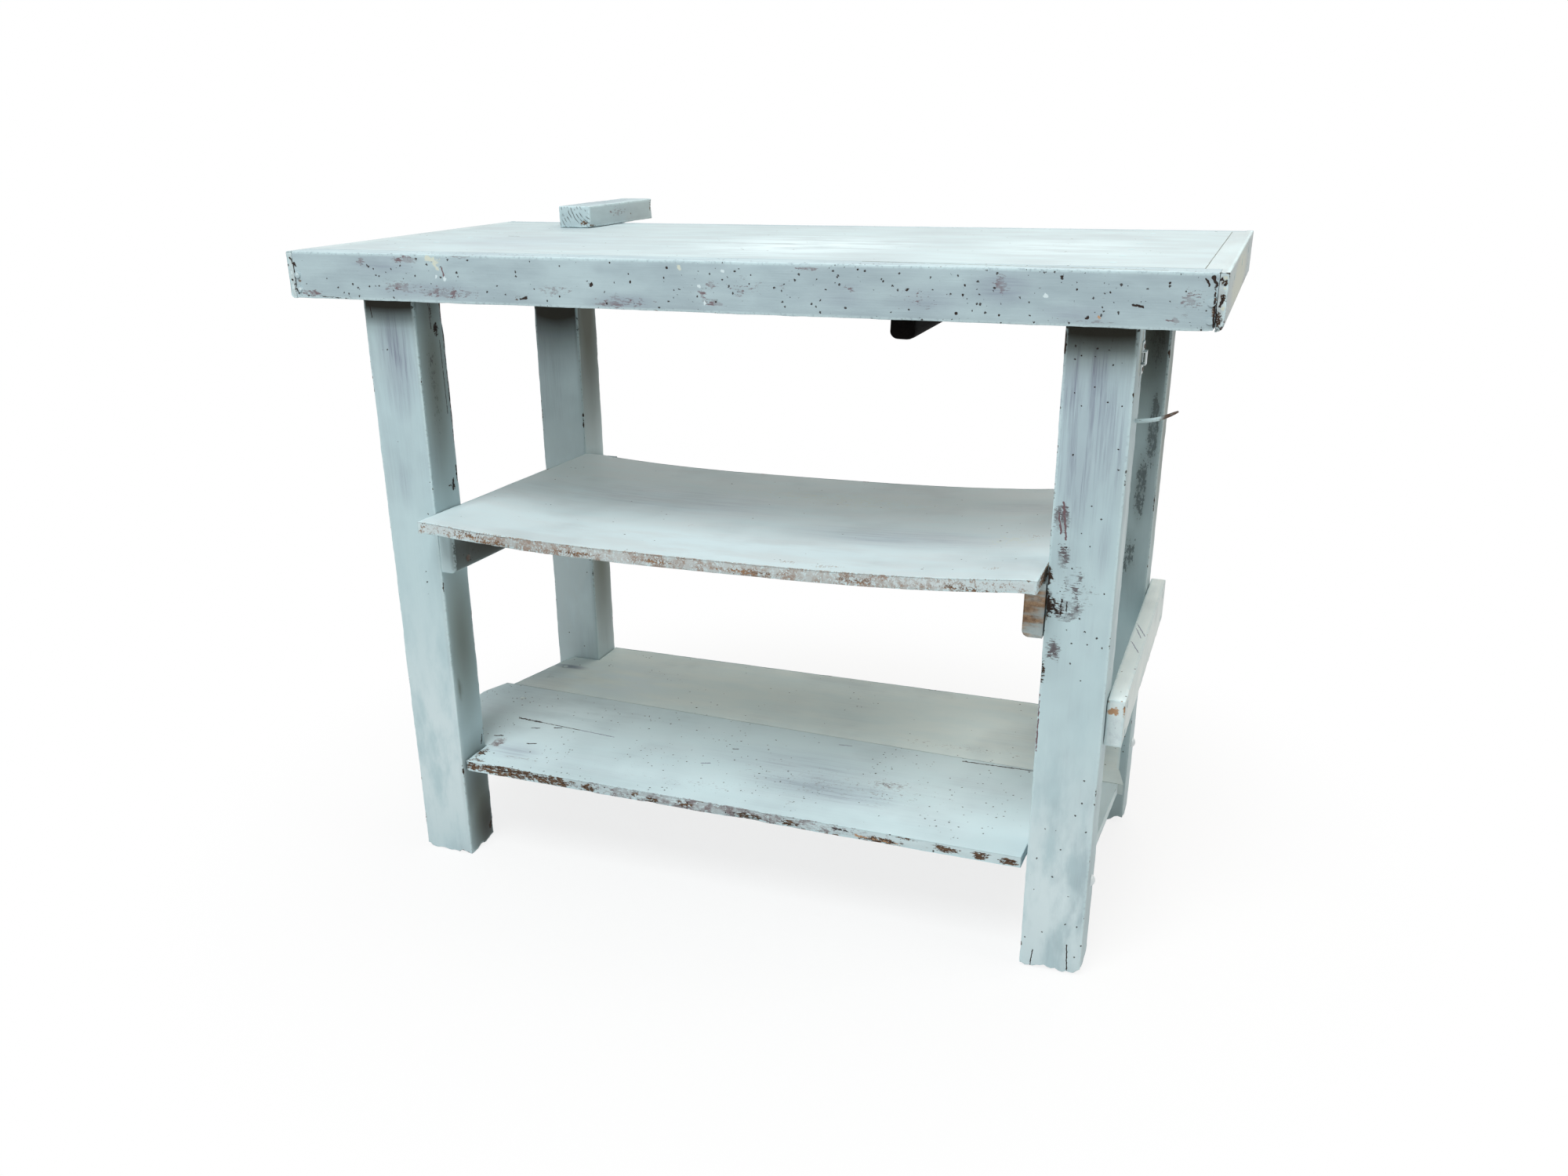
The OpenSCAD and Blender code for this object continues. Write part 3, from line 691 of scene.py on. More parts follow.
# How strongly the matt paint mirrors, where 0.5 is plain gloss paint
MATT_SHINE = 0.2


def made_once(make):
    """A material function that gives the material of a name again where there is one already."""

    def get(name, *values, **more):
        return bpy.data.materials.get(name) or make(name, *values, **more)

    return get


def empty_tree(owner):
    """The node tree of a material or world, emptied."""
    owner.use_nodes = True
    owner.node_tree.nodes.clear()
    return owner.node_tree


def new_material(name):
    """A material with an empty tree, its shader and its object coordinates."""
    material = bpy.data.materials.new(name)
    tree = empty_tree(material)
    shader = tree.nodes.new("ShaderNodeBsdfPrincipled")
    add_node(tree, "ShaderNodeOutputMaterial", {"Surface": shader.outputs["BSDF"]})
    place = tree.nodes.new("ShaderNodeTexCoord").outputs["Object"]
    return material, tree, shader, place


def along_grain(tree, place, axis):
    """Object coordinates turned so that the grain runs along the first axis."""
    turn = {ALONG_X: (0, 0, 0), ALONG_Y: (0, 0, math.pi / 2), ALONG_Z: (0, math.pi / 2, 0)}[axis]
    return add_node(tree, "ShaderNodeMapping", {"Vector": place, "Rotation": turn}).outputs["Vector"]


def relief(tree, height, strength, distance):
    """The normal of a surface with bumps of this height."""
    sockets = {"Height": height, "Strength": strength, "Distance": distance}
    return add_node(tree, "ShaderNodeBump", sockets).outputs["Normal"]


@made_once
def painted_wood(name, axis, tint=None, streaks=0.2, worms=0.35, arris=0.9, rubbed=0.0, grime=0.1,
                 light_chips=0.35, scuff_axis=None, rub_tone=None, lines=(), rings=None):
    """Brushed, worn paint over wood with its grain along an axis, with painted light and shade where
    marked.
    """
    paint = settings().paint
    material, tree, shader, place = new_material(name)
    mask = {kind: add_node(tree, "ShaderNodeAttribute", attribute_name=kind).outputs["Fac"]
            for kind in MARK_KINDS + (ARRIS,)}
    grain = along_grain(tree, place, axis)
    scuffs = grain if scuff_axis is None else along_grain(tree, place, scuff_axis)

    def patch(where, vector, cover, most):
        """A ragged patch within a mask."""
        return use_group(tree, worn_patch, Mask=where, Vector=vector, Cover=cover, Most=most)["Patch"]

    brush = use_group(tree, brush_marks, Vector=grain)
    mottle, bristles = brush["Mottle"], brush["Bristles"]
    edge = use_group(tree, worn_arris, Arris=mask[ARRIS], Vector=place, Amount=arris)
    wood = use_group(tree, wood_grain, Vector=grain, Dark=paint.aged, Light=paint.bare)
    holes = use_group(tree, worm_holes, Vector=place, Amount=worms)["Holes"]

    broad = noise_value(tree, place, 6.0, 3.0)
    brushed = times(tree, brush["Streaks"], step(tree, bristles, 0.3, 0.6))
    thin = larger(tree, times(tree, step(tree, broad, 0.42, 0.66), streaks), mask["thin"])
    thin = times(tree, mix_value(tree, brushed, 0.45, 1.0), thin, clamp=True)
    # Random grime, and painted shade where the marks put it
    stain = larger(tree, times(tree, step(tree, broad, 0.45, 0.75), grime), mask["stain"])
    # Painted light on faces that lie in shade
    fresh = times(tree, mask["fresh"], step(tree, mottle, 0.35, 0.6))
    # Speckled dirt, and smooth painted shade where the mark is strong
    dirt_and_shade = larger(tree, times(tree, patch(mask["smear"], grain, 0.75, 0.7), 0.7),
                  times(tree, mask["smear"], 0.3), clamp=True)
    cream = times(tree, patch(mask["cream"], place, 0.9, 1.0), 0.8)
    loose = times(tree, step(tree, noise_value(tree, place, 9.0, 3.0), 0.6, 0.75), rubbed)
    rub = patch(larger(tree, mask["rub"], loose), scuffs, 0.95, 0.74)
    deep = mix_value(tree, step(tree, noise_value(tree, place, 70.0, 3.0), 0.4, 0.62), 0.35, 0.9)
    bare = larger(tree, patch(mask["chip"], scuffs, 1.1, 0.74), edge["Bare"])

    base = mix(tree, times(tree, step(tree, mottle, 0.3, 0.7), 0.4),
               linear(tint) if tint else paint.paint, paint.paint_light)
    coats = [
        (times(tree, bristles, 0.25), paint.paint_light),
        (thin, paint.streak),
        (stain, paint.shade),
        (fresh, paint.fresh),
        (dirt_and_shade, paint.smear),
        # Painted shade close under the top, under the shelves and on inner faces
        (mask["soot"], paint.soot),
        # A painted highlight along the arrises
        (times(tree, edge["Ridge"], 0.55), paint.paint_light),
        (cream, paint.cream),
        (times(tree, rub, deep), linear(rub_tone) if rub_tone else paint.rub),
        (bare, mix(tree, light_chips, paint.dark, wood["Colour"])),
        (times(tree, holes, 0.9), paint.dark),
    ]
    if rings:
        grown = use_group(tree, end_grain, Vector=place, Middle=rings)["Rings"]
        coats.append((times(tree, grown, 0.7), paint.dark))
    cut_in = holes
    jag = use_group(tree, jagged, Vector=place)["Jag"] if lines else None
    for line in lines:
        drawn = use_group(tree, scratch, Vector=place, Jag=jag, From=Vector(line.start) * MM,
                          To=Vector(line.end) * MM, Width=line.width * MM)["Line"]
        coats.append((drawn, getattr(paint, line.tone)))
        if line.tone == "dark":
            cut_in = larger(tree, cut_in, drawn)
    for share, coat in coats:
        base = mix(tree, share, base, coat)

    height = weighted(tree, (bristles, 0.35), (mottle, 0.5), (wood["Relief"], 0.3), (bare, -0.7),
                      (rub, -0.25), (cut_in, -1.5))
    fill(tree, shader, {"Base Color": base, "Specular IOR Level": MATT_SHINE,
                        "Roughness": mix_value(tree, bare, mix_value(tree, mottle, 0.42, 0.6), 0.85),
                        "Normal": relief(tree, height, 0.55, 0.6 * MM)})
    return material


@made_once
def bare_wood(name, axis, dark, light, painted=0.0, shine=0.5):
    """Unpainted wood with its grain along an axis, with some paint left on it."""
    material, tree, shader, place = new_material(name)
    wood = use_group(tree, wood_grain, Vector=along_grain(tree, place, axis), Dark=linear(dark),
                     Light=linear(light))
    left = times(tree, step(tree, stretched_noise(tree, place, (14, 16, 75), 5.0), 0.42, 0.6), painted)
    height = weighted(tree, (wood["Relief"], 1.0), (left, 0.4))
    fill(tree, shader, {"Base Color": mix(tree, left, wood["Colour"], settings().paint.paint),
                        "Roughness": mix_value(tree, wood["Relief"], 0.65, 0.85),
                        "Specular IOR Level": shine, "Normal": relief(tree, height, 0.6, 0.5 * MM)})
    return material


STEEL = (100, 95, 90)
RUST = (92, 66, 52)


@made_once
def rusty_steel(name, painted=0.0, end_x=None):
    """Old steel with rust; the paint on it thins out past a place along X."""
    material, tree, shader, place = new_material(name)
    blotches = use_group(tree, rust_blotches, Vector=place)
    rust = blotches["Rust"]
    bare_below = 0.62 - 0.4 * painted
    left = step(tree, noise_value(tree, place, 420.0, 3.0), bare_below, bare_below + 0.15)
    left = times(tree, left, painted)
    if end_x is not None:
        along = add_node(tree, "ShaderNodeSeparateXYZ", {"Vector": place}).outputs["X"]
        left = times(tree, left, step(tree, along, end_x, end_x - 8 * MM))
    metal = mix(tree, rust, linear(STEEL), linear(RUST))
    bare = calc(tree, "SUBTRACT", 1.0, larger(tree, left, rust), clamp=True)
    fill(tree, shader, {"Base Color": mix(tree, left, metal, settings().paint.paint_light),
                        "Metallic": times(tree, bare, 0.8),
                        "Roughness": mix_value(tree, rust, 0.45, 0.8),
                        "Normal": relief(tree, blotches["Pits"], 0.5, 0.2 * MM)})
    return material


# Worn places, cracks, spots, painted light and painted shade on the faces of the pieces, in mm in the
# bench's frame

def face(node, axis, side):
    """A face of a piece: the axis that it looks along, and its place on that axis."""
    return axis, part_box(node)[side][axis] / MM


def across(where, u, v, level=None):
    """Three numbers from two along a face, in the order X, Y, Z, and one along its axis."""
    axis, place = where
    numbers = [u, v]
    numbers.insert(axis, place if level is None else level)
    return tuple(numbers)


def marks(kind, where, *rows, into=6):
    """Marks on a face, as rows of a middle and a reach along the face, a strength and a depth."""
    return tuple(Mark(kind, across(where, u, v), across(where, reach_u, reach_v, into), *rest)
                 for u, v, reach_u, reach_v, *rest in rows)


def lines(tone, where, *rows):
    """Lines on a face, as rows of two ends along the face and a half width."""
    return tuple(Line(tone, across(where, u1, v1), across(where, u2, v2), width)
                 for u1, v1, u2, v2, width in rows)


def spots(tone, where, *rows):
    """Spots on a face, as rows of a place along the face and a radius."""
    return lines(tone, where, *((u, v, u, v, radius) for u, v, radius in rows))


FRONT = face("front_edge_board", ALONG_Y, LOW)
BACK = face("back_edge_board", ALONG_Y, HIGH)
LEFT_END = face("left_end_board", ALONG_X, LOW)
RIGHT_END = face("right_end_board", ALONG_X, HIGH)
TOP = face("front_plank", ALONG_Z, HIGH)
LEG_FRONT = face("front_left_leg", ALONG_Y, LOW)
BACK_LEG_FRONT = face("back_left_leg", ALONG_Y, LOW)
LEG_BACK = face("back_left_leg", ALONG_Y, HIGH)
LEFT_LEG_OUTSIDE = face("front_left_leg", ALONG_X, LOW)
LEFT_LEG_INSIDE = face("front_left_leg", ALONG_X, HIGH)
RIGHT_LEG_OUTSIDE = face("front_right_leg", ALONG_X, HIGH)
BATTEN_INSIDE = face("left_batten", ALONG_X, HIGH)
SHELF_FRONT = face("middle_shelf", ALONG_Y, LOW)
SHELF_END = face("middle_shelf", ALONG_X, HIGH)
# The middle and the higher right end of the bowed shelf, whose marks reach far up and down
SHELF_TOP = (ALONG_Z, 505)
SHELF_TOP_RIGHT = (ALONG_Z, 512)
LOWER_FRONT = face("lower_front_board", ALONG_Y, LOW)
# Just before the lower shelf's front edge, so that lines drawn there show thinner
LOWER_EDGE = (ALONG_Y, -271)
LOWER_TOP = face("lower_front_board", ALONG_Z, HIGH)
STRETCHER_END = face("side_stretcher", ALONG_Y, LOW)
STRETCHER_TOP = face("side_stretcher", ALONG_Z, HIGH)
BLOCK_END = face("stop_block", ALONG_Y, LOW)
BLOCK_SIDE = face("stop_block", ALONG_X, HIGH)
BLOCK_TOP = face("stop_block", ALONG_Z, HIGH)

# The corner of the top that is knocked off, low at the right of the front
WORN_CORNER = Mark(WORN, (556, -311, 792), (20, 30, 12), depth=1.0)

MARKS = {
    "front_edge_board": (
        marks("thin", FRONT, (-420, 836, 80, 18, 0.7), (-350, 806, 120, 16, 0.6), (-90, 802, 60, 14, 0.8),
              (170, 818, 50, 22, 0.6), (255, 815, 60, 26, 0.7), (340, 830, 45, 24, 0.9),
              (420, 806, 55, 14, 0.8), into=8)
        + marks("cream", FRONT, (-340, 842, 14, 12, 0.9, 0.7), (-335, 830, 9, 18, 0.8, 0.7), into=8)
        + marks("rub", FRONT, (-330, 806, 110, 16, 0.75, 0.1), (-180, 812, 60, 16, 0.62, 0.1),
                (-90, 803, 70, 14, 0.7, 0.1), (60, 822, 60, 24, 0.5, 0.1), (255, 808, 50, 10, 0.5, 0.1),
                (430, 800, 60, 7, 0.6, 0.1), (-449, 839, 13, 12, 1, 0.3), (-385, 843, 38, 9, 1, 0.3),
                (-305, 847, 34, 4, 1, 0.2), (-394, 811, 52, 16, 0.8, 0.2), (-528, 800, 28, 7, 1.2, 0.5),
                (-110, 800, 42, 9, 1, 0.2), (17, 824, 9, 8, 1.2, 0.5), (7, 815, 5, 9, 1.2, 0.5),
                (45, 818, 8, 8, 1, 0.5), (20, 804, 30, 8, 1, 0.4), (130, 843, 30, 4, 1.1, 0.3),
                (99, 825, 10, 7, 1, 0.4), (178, 824, 9, 5, 1, 0.6), (340, 833, 16, 18, 1, 0.2),
                (438, 822, 8, 4, 1, 0.3), (511, 803, 14, 7, 1, 0.3), (528, 822, 24, 30, 0.8, 0.2),
                (250, 815, 70, 26, 0.5, 0.1))
        + marks("chip", FRONT, (-333, 838, 3.5, 13, 1, 0.9), (-323, 824, 6, 8, 1, 1.4),
                (-544, 815, 5, 20, 0.5, 0.6), (-230, 802, 6, 5, 1, 1.2), (-131, 822, 4.5, 4, 1, 1.4),
                (300, 822, 5, 4, 0.8, 0.9), (477, 816, 5, 3.5, 0.8, 0.8), (538, 842, 9, 6, 0.9, 0.9),
                (549, 818, 4, 30, 0.9, 1))
        + (WORN_CORNER,)
    ),
    "back_edge_board": (
        marks("thin", BACK, (0, 815, 300, 26, 0.7))
        + marks("rub", BACK, (-300, 806, 130, 14, 0.7, 0.1), (180, 836, 90, 12, 0.6, 0.1),
                (430, 802, 70, 12, 0.7, 0.1))
        + marks("chip", BACK, (-500, 797, 26, 6, 0.9, 0.8), (60, 848, 30, 5, 0.8, 0.6))
    ),
    "left_end_board": (
        marks("thin", LEFT_END, (-100, 825, 160, 26, 0.7))
        + marks("rub", LEFT_END, (-60, 806, 140, 14, 0.65, 0.1), (130, 838, 60, 10, 0.6, 0.1))
        + marks("chip", FRONT, (-552, 838, 5, 8, 1, 1.6), (-552, 806, 4, 10, 1, 1), into=8)
    ),
    "right_end_board": (
        marks("cream", RIGHT_END, (-60, 820, 340, 60, 1.2))
        + marks("rub", RIGHT_END, (60, 804, 110, 12, 0.6, 0.1))
        + marks("chip", FRONT, (556, 840, 6, 6, 1, 2), (556, 826, 6, 8, 1, 1.8), into=10)
        + marks("chip", FRONT, (554, 806, 7, 13, 1, 2.2), into=14)
        + (WORN_CORNER, Mark("chip", (556, -306, 797), (12, 14, 8), 0.8, 0.5))
    ),
    # Lighter patches on the top are painted light
    "planks": (
        marks("fresh", TOP, (50, -100, 190, 190, 0.9), (360, -60, 150, 170, 0.5))
        + marks("thin", TOP, (-330, -120, 200, 160, 0.35))
    ),
    "stop_block": (
        marks("thin", BLOCK_TOP, (-380, 200, 60, 160, 0.6))
        + marks("rub", BLOCK_SIDE, (200, 868, 60, 16, 0.7, 0.2))
        + marks("chip", BLOCK_END, (-364, 857, 11, 7, 1, 1.4), into=8)
        + marks("chip", BLOCK_SIDE, (118, 852, 18, 6, 1, 1.6), (318, 868, 9, 16, 0.8, 1.6),
                (245, 862, 6, 9, 0.7, 0.6))
    ),
    # Painted light low on the front; painted shade at the top under the edge board, on the inner face and
    # at the foot
    "front_left_leg": (
        marks("fresh", LEG_FRONT, (-440, 160, 200, 300), into=8)
        + marks("thin", LEG_FRONT, (-445, 560, 20, 60, 0.5), (-436, 712, 42, 105, 1.2), into=8)
        + marks("stain", LEFT_LEG_INSIDE, (-246, 700, 60, 260, 0.85), (-246, 330, 60, 190, 0.8),
                (-240, 60, 60, 160, 0.9), (-264, 262, 10, 40, 0.9))
        + marks("stain", LEG_FRONT, (-440, 806, 200, 50, 0.8), into=8)
        + marks("smear", LEFT_LEG_INSIDE, (-250, 690, 24, 150, 0.7))
        + marks("smear", LEG_FRONT, (-440, 812, 200, 46, 1.2), into=8)
        + marks("soot", LEFT_LEG_INSIDE, (-246, 800, 80, 60, 0.7), (-246, 110, 90, 90, 0.45),
                (-226, 30, 60, 90, 0.9))
        + marks("soot", LEG_FRONT, (-440, 800, 200, 46, 1.6), into=8)
        + marks("rub", LEFT_LEG_OUTSIDE, (-240, 610, 26, 70, 0.7, 0.1))
        + marks("chip", LEFT_LEG_INSIDE, (-234, 750, 7, 14, 1.3, 1.6), (-242, 778, 3, 22, 1, 1),
                (-216, 770, 7, 40, 1.2, 1.4), (-229, 544, 7, 12, 1.2, 1), (-216, 556, 6, 16, 1.2, 1.2))
        + marks("chip", LEFT_LEG_INSIDE, (-222, 20, 12, 14, 1, 1), into=8)
        + marks("chip", LEFT_LEG_OUTSIDE, (-274, 430, 6, 30, 0.8, 0.8))
    ),
    # Painted light low on the front and on the outer face; painted shade at the top under the edge board
    "front_right_leg": (
        marks("fresh", LEG_FRONT, (440, 110, 200, 260), into=8)
        + marks("fresh", RIGHT_LEG_OUTSIDE, (-246, 460, 40, 320, 0.9))
        + marks("thin", LEG_FRONT, (412, 735, 30, 75, 1.1), (440, 742, 24, 62, 1.3), (428, 640, 40, 120),
                (458, 560, 22, 70, 0.5), (440, 690, 70, 170, 0.85), (470, 660, 20, 120, 0.7), into=8)
        + marks("stain", LEG_FRONT, (440, 800, 200, 70), into=8)
        + marks("smear", LEG_FRONT, (440, 815, 200, 58, 1.2), into=8)
        + marks("soot", LEG_FRONT, (440, 800, 200, 46, 1.6), into=8)
        + marks("cream", RIGHT_LEG_OUTSIDE, (-246, 760, 40, 60, 0.9))
        + marks("rub", LEG_FRONT, (414, 583, 16, 34, 1.2, 0.2), (418, 540, 14, 28, 1.1, 0.2),
                (426, 478, 30, 28, 1.2, 0.3), (415, 428, 16, 28, 1.1, 0.2), (436, 505, 44, 60, 0.62, 0.1))
        + marks("chip", LEG_FRONT, (404, 400, 6, 30, 1, 1.2))
        + marks("chip", LEG_FRONT, (404, 517, 9, 26, 0.8, 1.3), (404, 481, 14, 30, 1, 1.8),
                (416, 478, 26, 26, 0.6, 0.4), into=8)
    ),
    # Painted light low on the front; painted shade at the top of the front and on the inner face
    "back_left_leg": (
        marks("fresh", BACK_LEG_FRONT, (-440, 320, 200, 300, 1.2), into=8)
        + marks("stain", LEFT_LEG_INSIDE, (173, 740, 80, 330, 1.1), (173, 330, 80, 260, 0.95))
        + marks("soot", BACK_LEG_FRONT, (-440, 760, 200, 150, 1.3), into=8)
        + marks("soot", LEFT_LEG_INSIDE, (173, 720, 80, 260, 0.42))
        + marks("rub", LEFT_LEG_OUTSIDE, (170, 260, 30, 60, 0.7, 0.1))
        + marks("rub", LEG_BACK, (-450, 560, 30, 60, 0.7, 0.1))
        + marks("chip", LEFT_LEG_OUTSIDE, (202, 640, 6, 34, 0.8, 0.8))
    ),
    # Painted shade on the front and the outer face, with dark smears down the front
    "back_right_leg": (
        marks("stain", BACK_LEG_FRONT, (440, 760, 90, 220), (440, 560, 90, 200, 0.1), into=8)
        + marks("stain", RIGHT_LEG_OUTSIDE, (175, 620, 60, 360, 0.85))
        + marks("smear", BACK_LEG_FRONT, (466, 600, 12, 90, 1.6), (457, 520, 13, 80, 1.4),
                (462, 740, 24, 110), (448, 420, 24, 60, 0.9))
        + marks("soot", BACK_LEG_FRONT, (462, 760, 60, 170), into=8)
        + marks("rub", LEG_BACK, (440, 610, 30, 60, 0.7, 0.1))
        + marks("chip", LEG_BACK, (404, 480, 8, 30, 0.8, 0.6))
    ),
    # Painted light along the front of the top; a little painted shade at the back right
    "middle_shelf": (
        marks("fresh", SHELF_TOP, (0, -250, 420, 60, 0.8), (0, -290, 420, 40), into=40)
        + marks("thin", SHELF_TOP, (-150, -60, 260, 120, 0.5), (200, -160, 220, 70, 0.6), into=40)
        + marks("thin", SHELF_TOP_RIGHT, (330, 30, 130, 60, 0.4), into=24)
        + marks("stain", SHELF_TOP_RIGHT, (250, 60, 280, 70, 0.05), (380, -40, 70, 130, 0.1), into=40)
        + marks("cream", SHELF_TOP, (60, 20, 380, 110, 0.55), into=40)
        + marks("cream", SHELF_TOP_RIGHT, (340, -150, 90, 60, 0.6), into=24)
        + marks("rub", SHELF_FRONT, (0, 503, 900, 60, 0.85, 0.2), (-240, 503, 190, 16, 1, 0.2))
        + marks("rub", SHELF_TOP, (104, -300, 34, 14, 0.8), (154, -304, 46, 14, 0.8),
                (-76, -181, 26, 10, 0.6), into=24)
        + marks("rub", SHELF_TOP_RIGHT, (362, -128, 30, 24, 0.65), (345, -276, 50, 14, 0.7), into=24)
        + marks("chip", SHELF_END, (-250, 515, 110, 16, 1.3, 0.6), into=4)
        + marks("chip", SHELF_FRONT, (-392, 512, 8, 9, 1, 0.8), (-330, 507, 70, 10, 0.7, 0.7),
                (-290, 500, 60, 9, 0.8, 0.9), (-170, 498, 80, 9, 0.7, 0.5), (-60, 499, 60, 8, 0.7, 0.8),
                (60, 498, 90, 8, 0.7, 0.5), (190, 502, 48, 8, 0.8, 0.8), (320, 507, 70, 8, 0.7, 0.5))
    ),
    # Painted shade on the inner face
    "left_batten": (
        marks("stain", BATTEN_INSIDE, (-40, 462, 500, 90))
        + marks("soot", BATTEN_INSIDE, (-40, 470, 500, 90, 1.4))
    ),
    # Painted light on the left of the top
    "lower_front_board": (
        marks("fresh", LOWER_TOP, (-330, -80, 160, 150, 0.9))
        + marks("thin", LOWER_TOP, (60, -120, 200, 70, 0.5), (-350, -215, 60, 40, 0.7),
                (110, -180, 160, 60, 0.9))
        + marks("rub", LOWER_FRONT, (-20, 143, 460, 40, 0.85, 0.2))
        + marks("rub", LOWER_TOP, (130, -165, 340, 100, 0.42, 0.1), (-60, -225, 240, 40, 0.4, 0.1),
                (-390, -200, 22, 30, 1, 0.2), (-330, -235, 60, 12, 0.7, 0.2),
                (190, -140, 60, 30, 0.7, 0.2), (79, -231, 14, 14, 0.7, 0.2))
        + marks("chip", LOWER_FRONT, (-390, 143, 26, 13, 1, 1), (-335, 143, 84, 16, 1.3, 1.3),
                (-262, 142, 64, 14, 1.15, 1), (-205, 140, 26, 12, 0.9, 1.2), (-132, 142, 14, 14, 0.8, 1),
                (-60, 141, 30, 10, 0.75, 0.6), (90, 140, 26, 11, 0.9, 1.2), (300, 143, 34, 10, 0.8, 0.5),
                (345, 142, 26, 12, 0.85, 0.6), (380, 141, 24, 11, 0.95, 0.6))
        + marks("chip", LOWER_FRONT, (-108, 138, 16, 9, 1.2, 2.4), (32, 138, 36, 11, 1.2, 2.4),
                (211, 138, 56, 9, 1.1, 0.9), (250, 147, 30, 6, 0.8, 0.5), into=8)
        + marks("chip", LOWER_TOP, (-390, -262, 34, 9, 0.85, 0.3), (-394, -236, 14, 30, 0.85, 0.3))
    ),
    # Painted light on the left, and a little painted shade in the middle
    "lower_back_board": (
        marks("fresh", LOWER_TOP, (-330, 60, 140, 120, 0.9))
        + marks("thin", LOWER_TOP, (-430, 98, 44, 14, 1.3))
        + marks("stain", LOWER_TOP, (-40, 90, 330, 130, 0.15))
        + marks("rub", LOWER_TOP, (250, 10, 200, 26, 0.45, 0.1))
    ),
    "side_stretcher": (
        marks("thin", STRETCHER_END, (489, 328, 40, 40, 0.4))
        + marks("chip", STRETCHER_END, (485, 355, 9, 6, 1, 0.5))
        + marks("chip", STRETCHER_END, (479, 366, 4, 4, 1, 1), into=8)
    ),
}

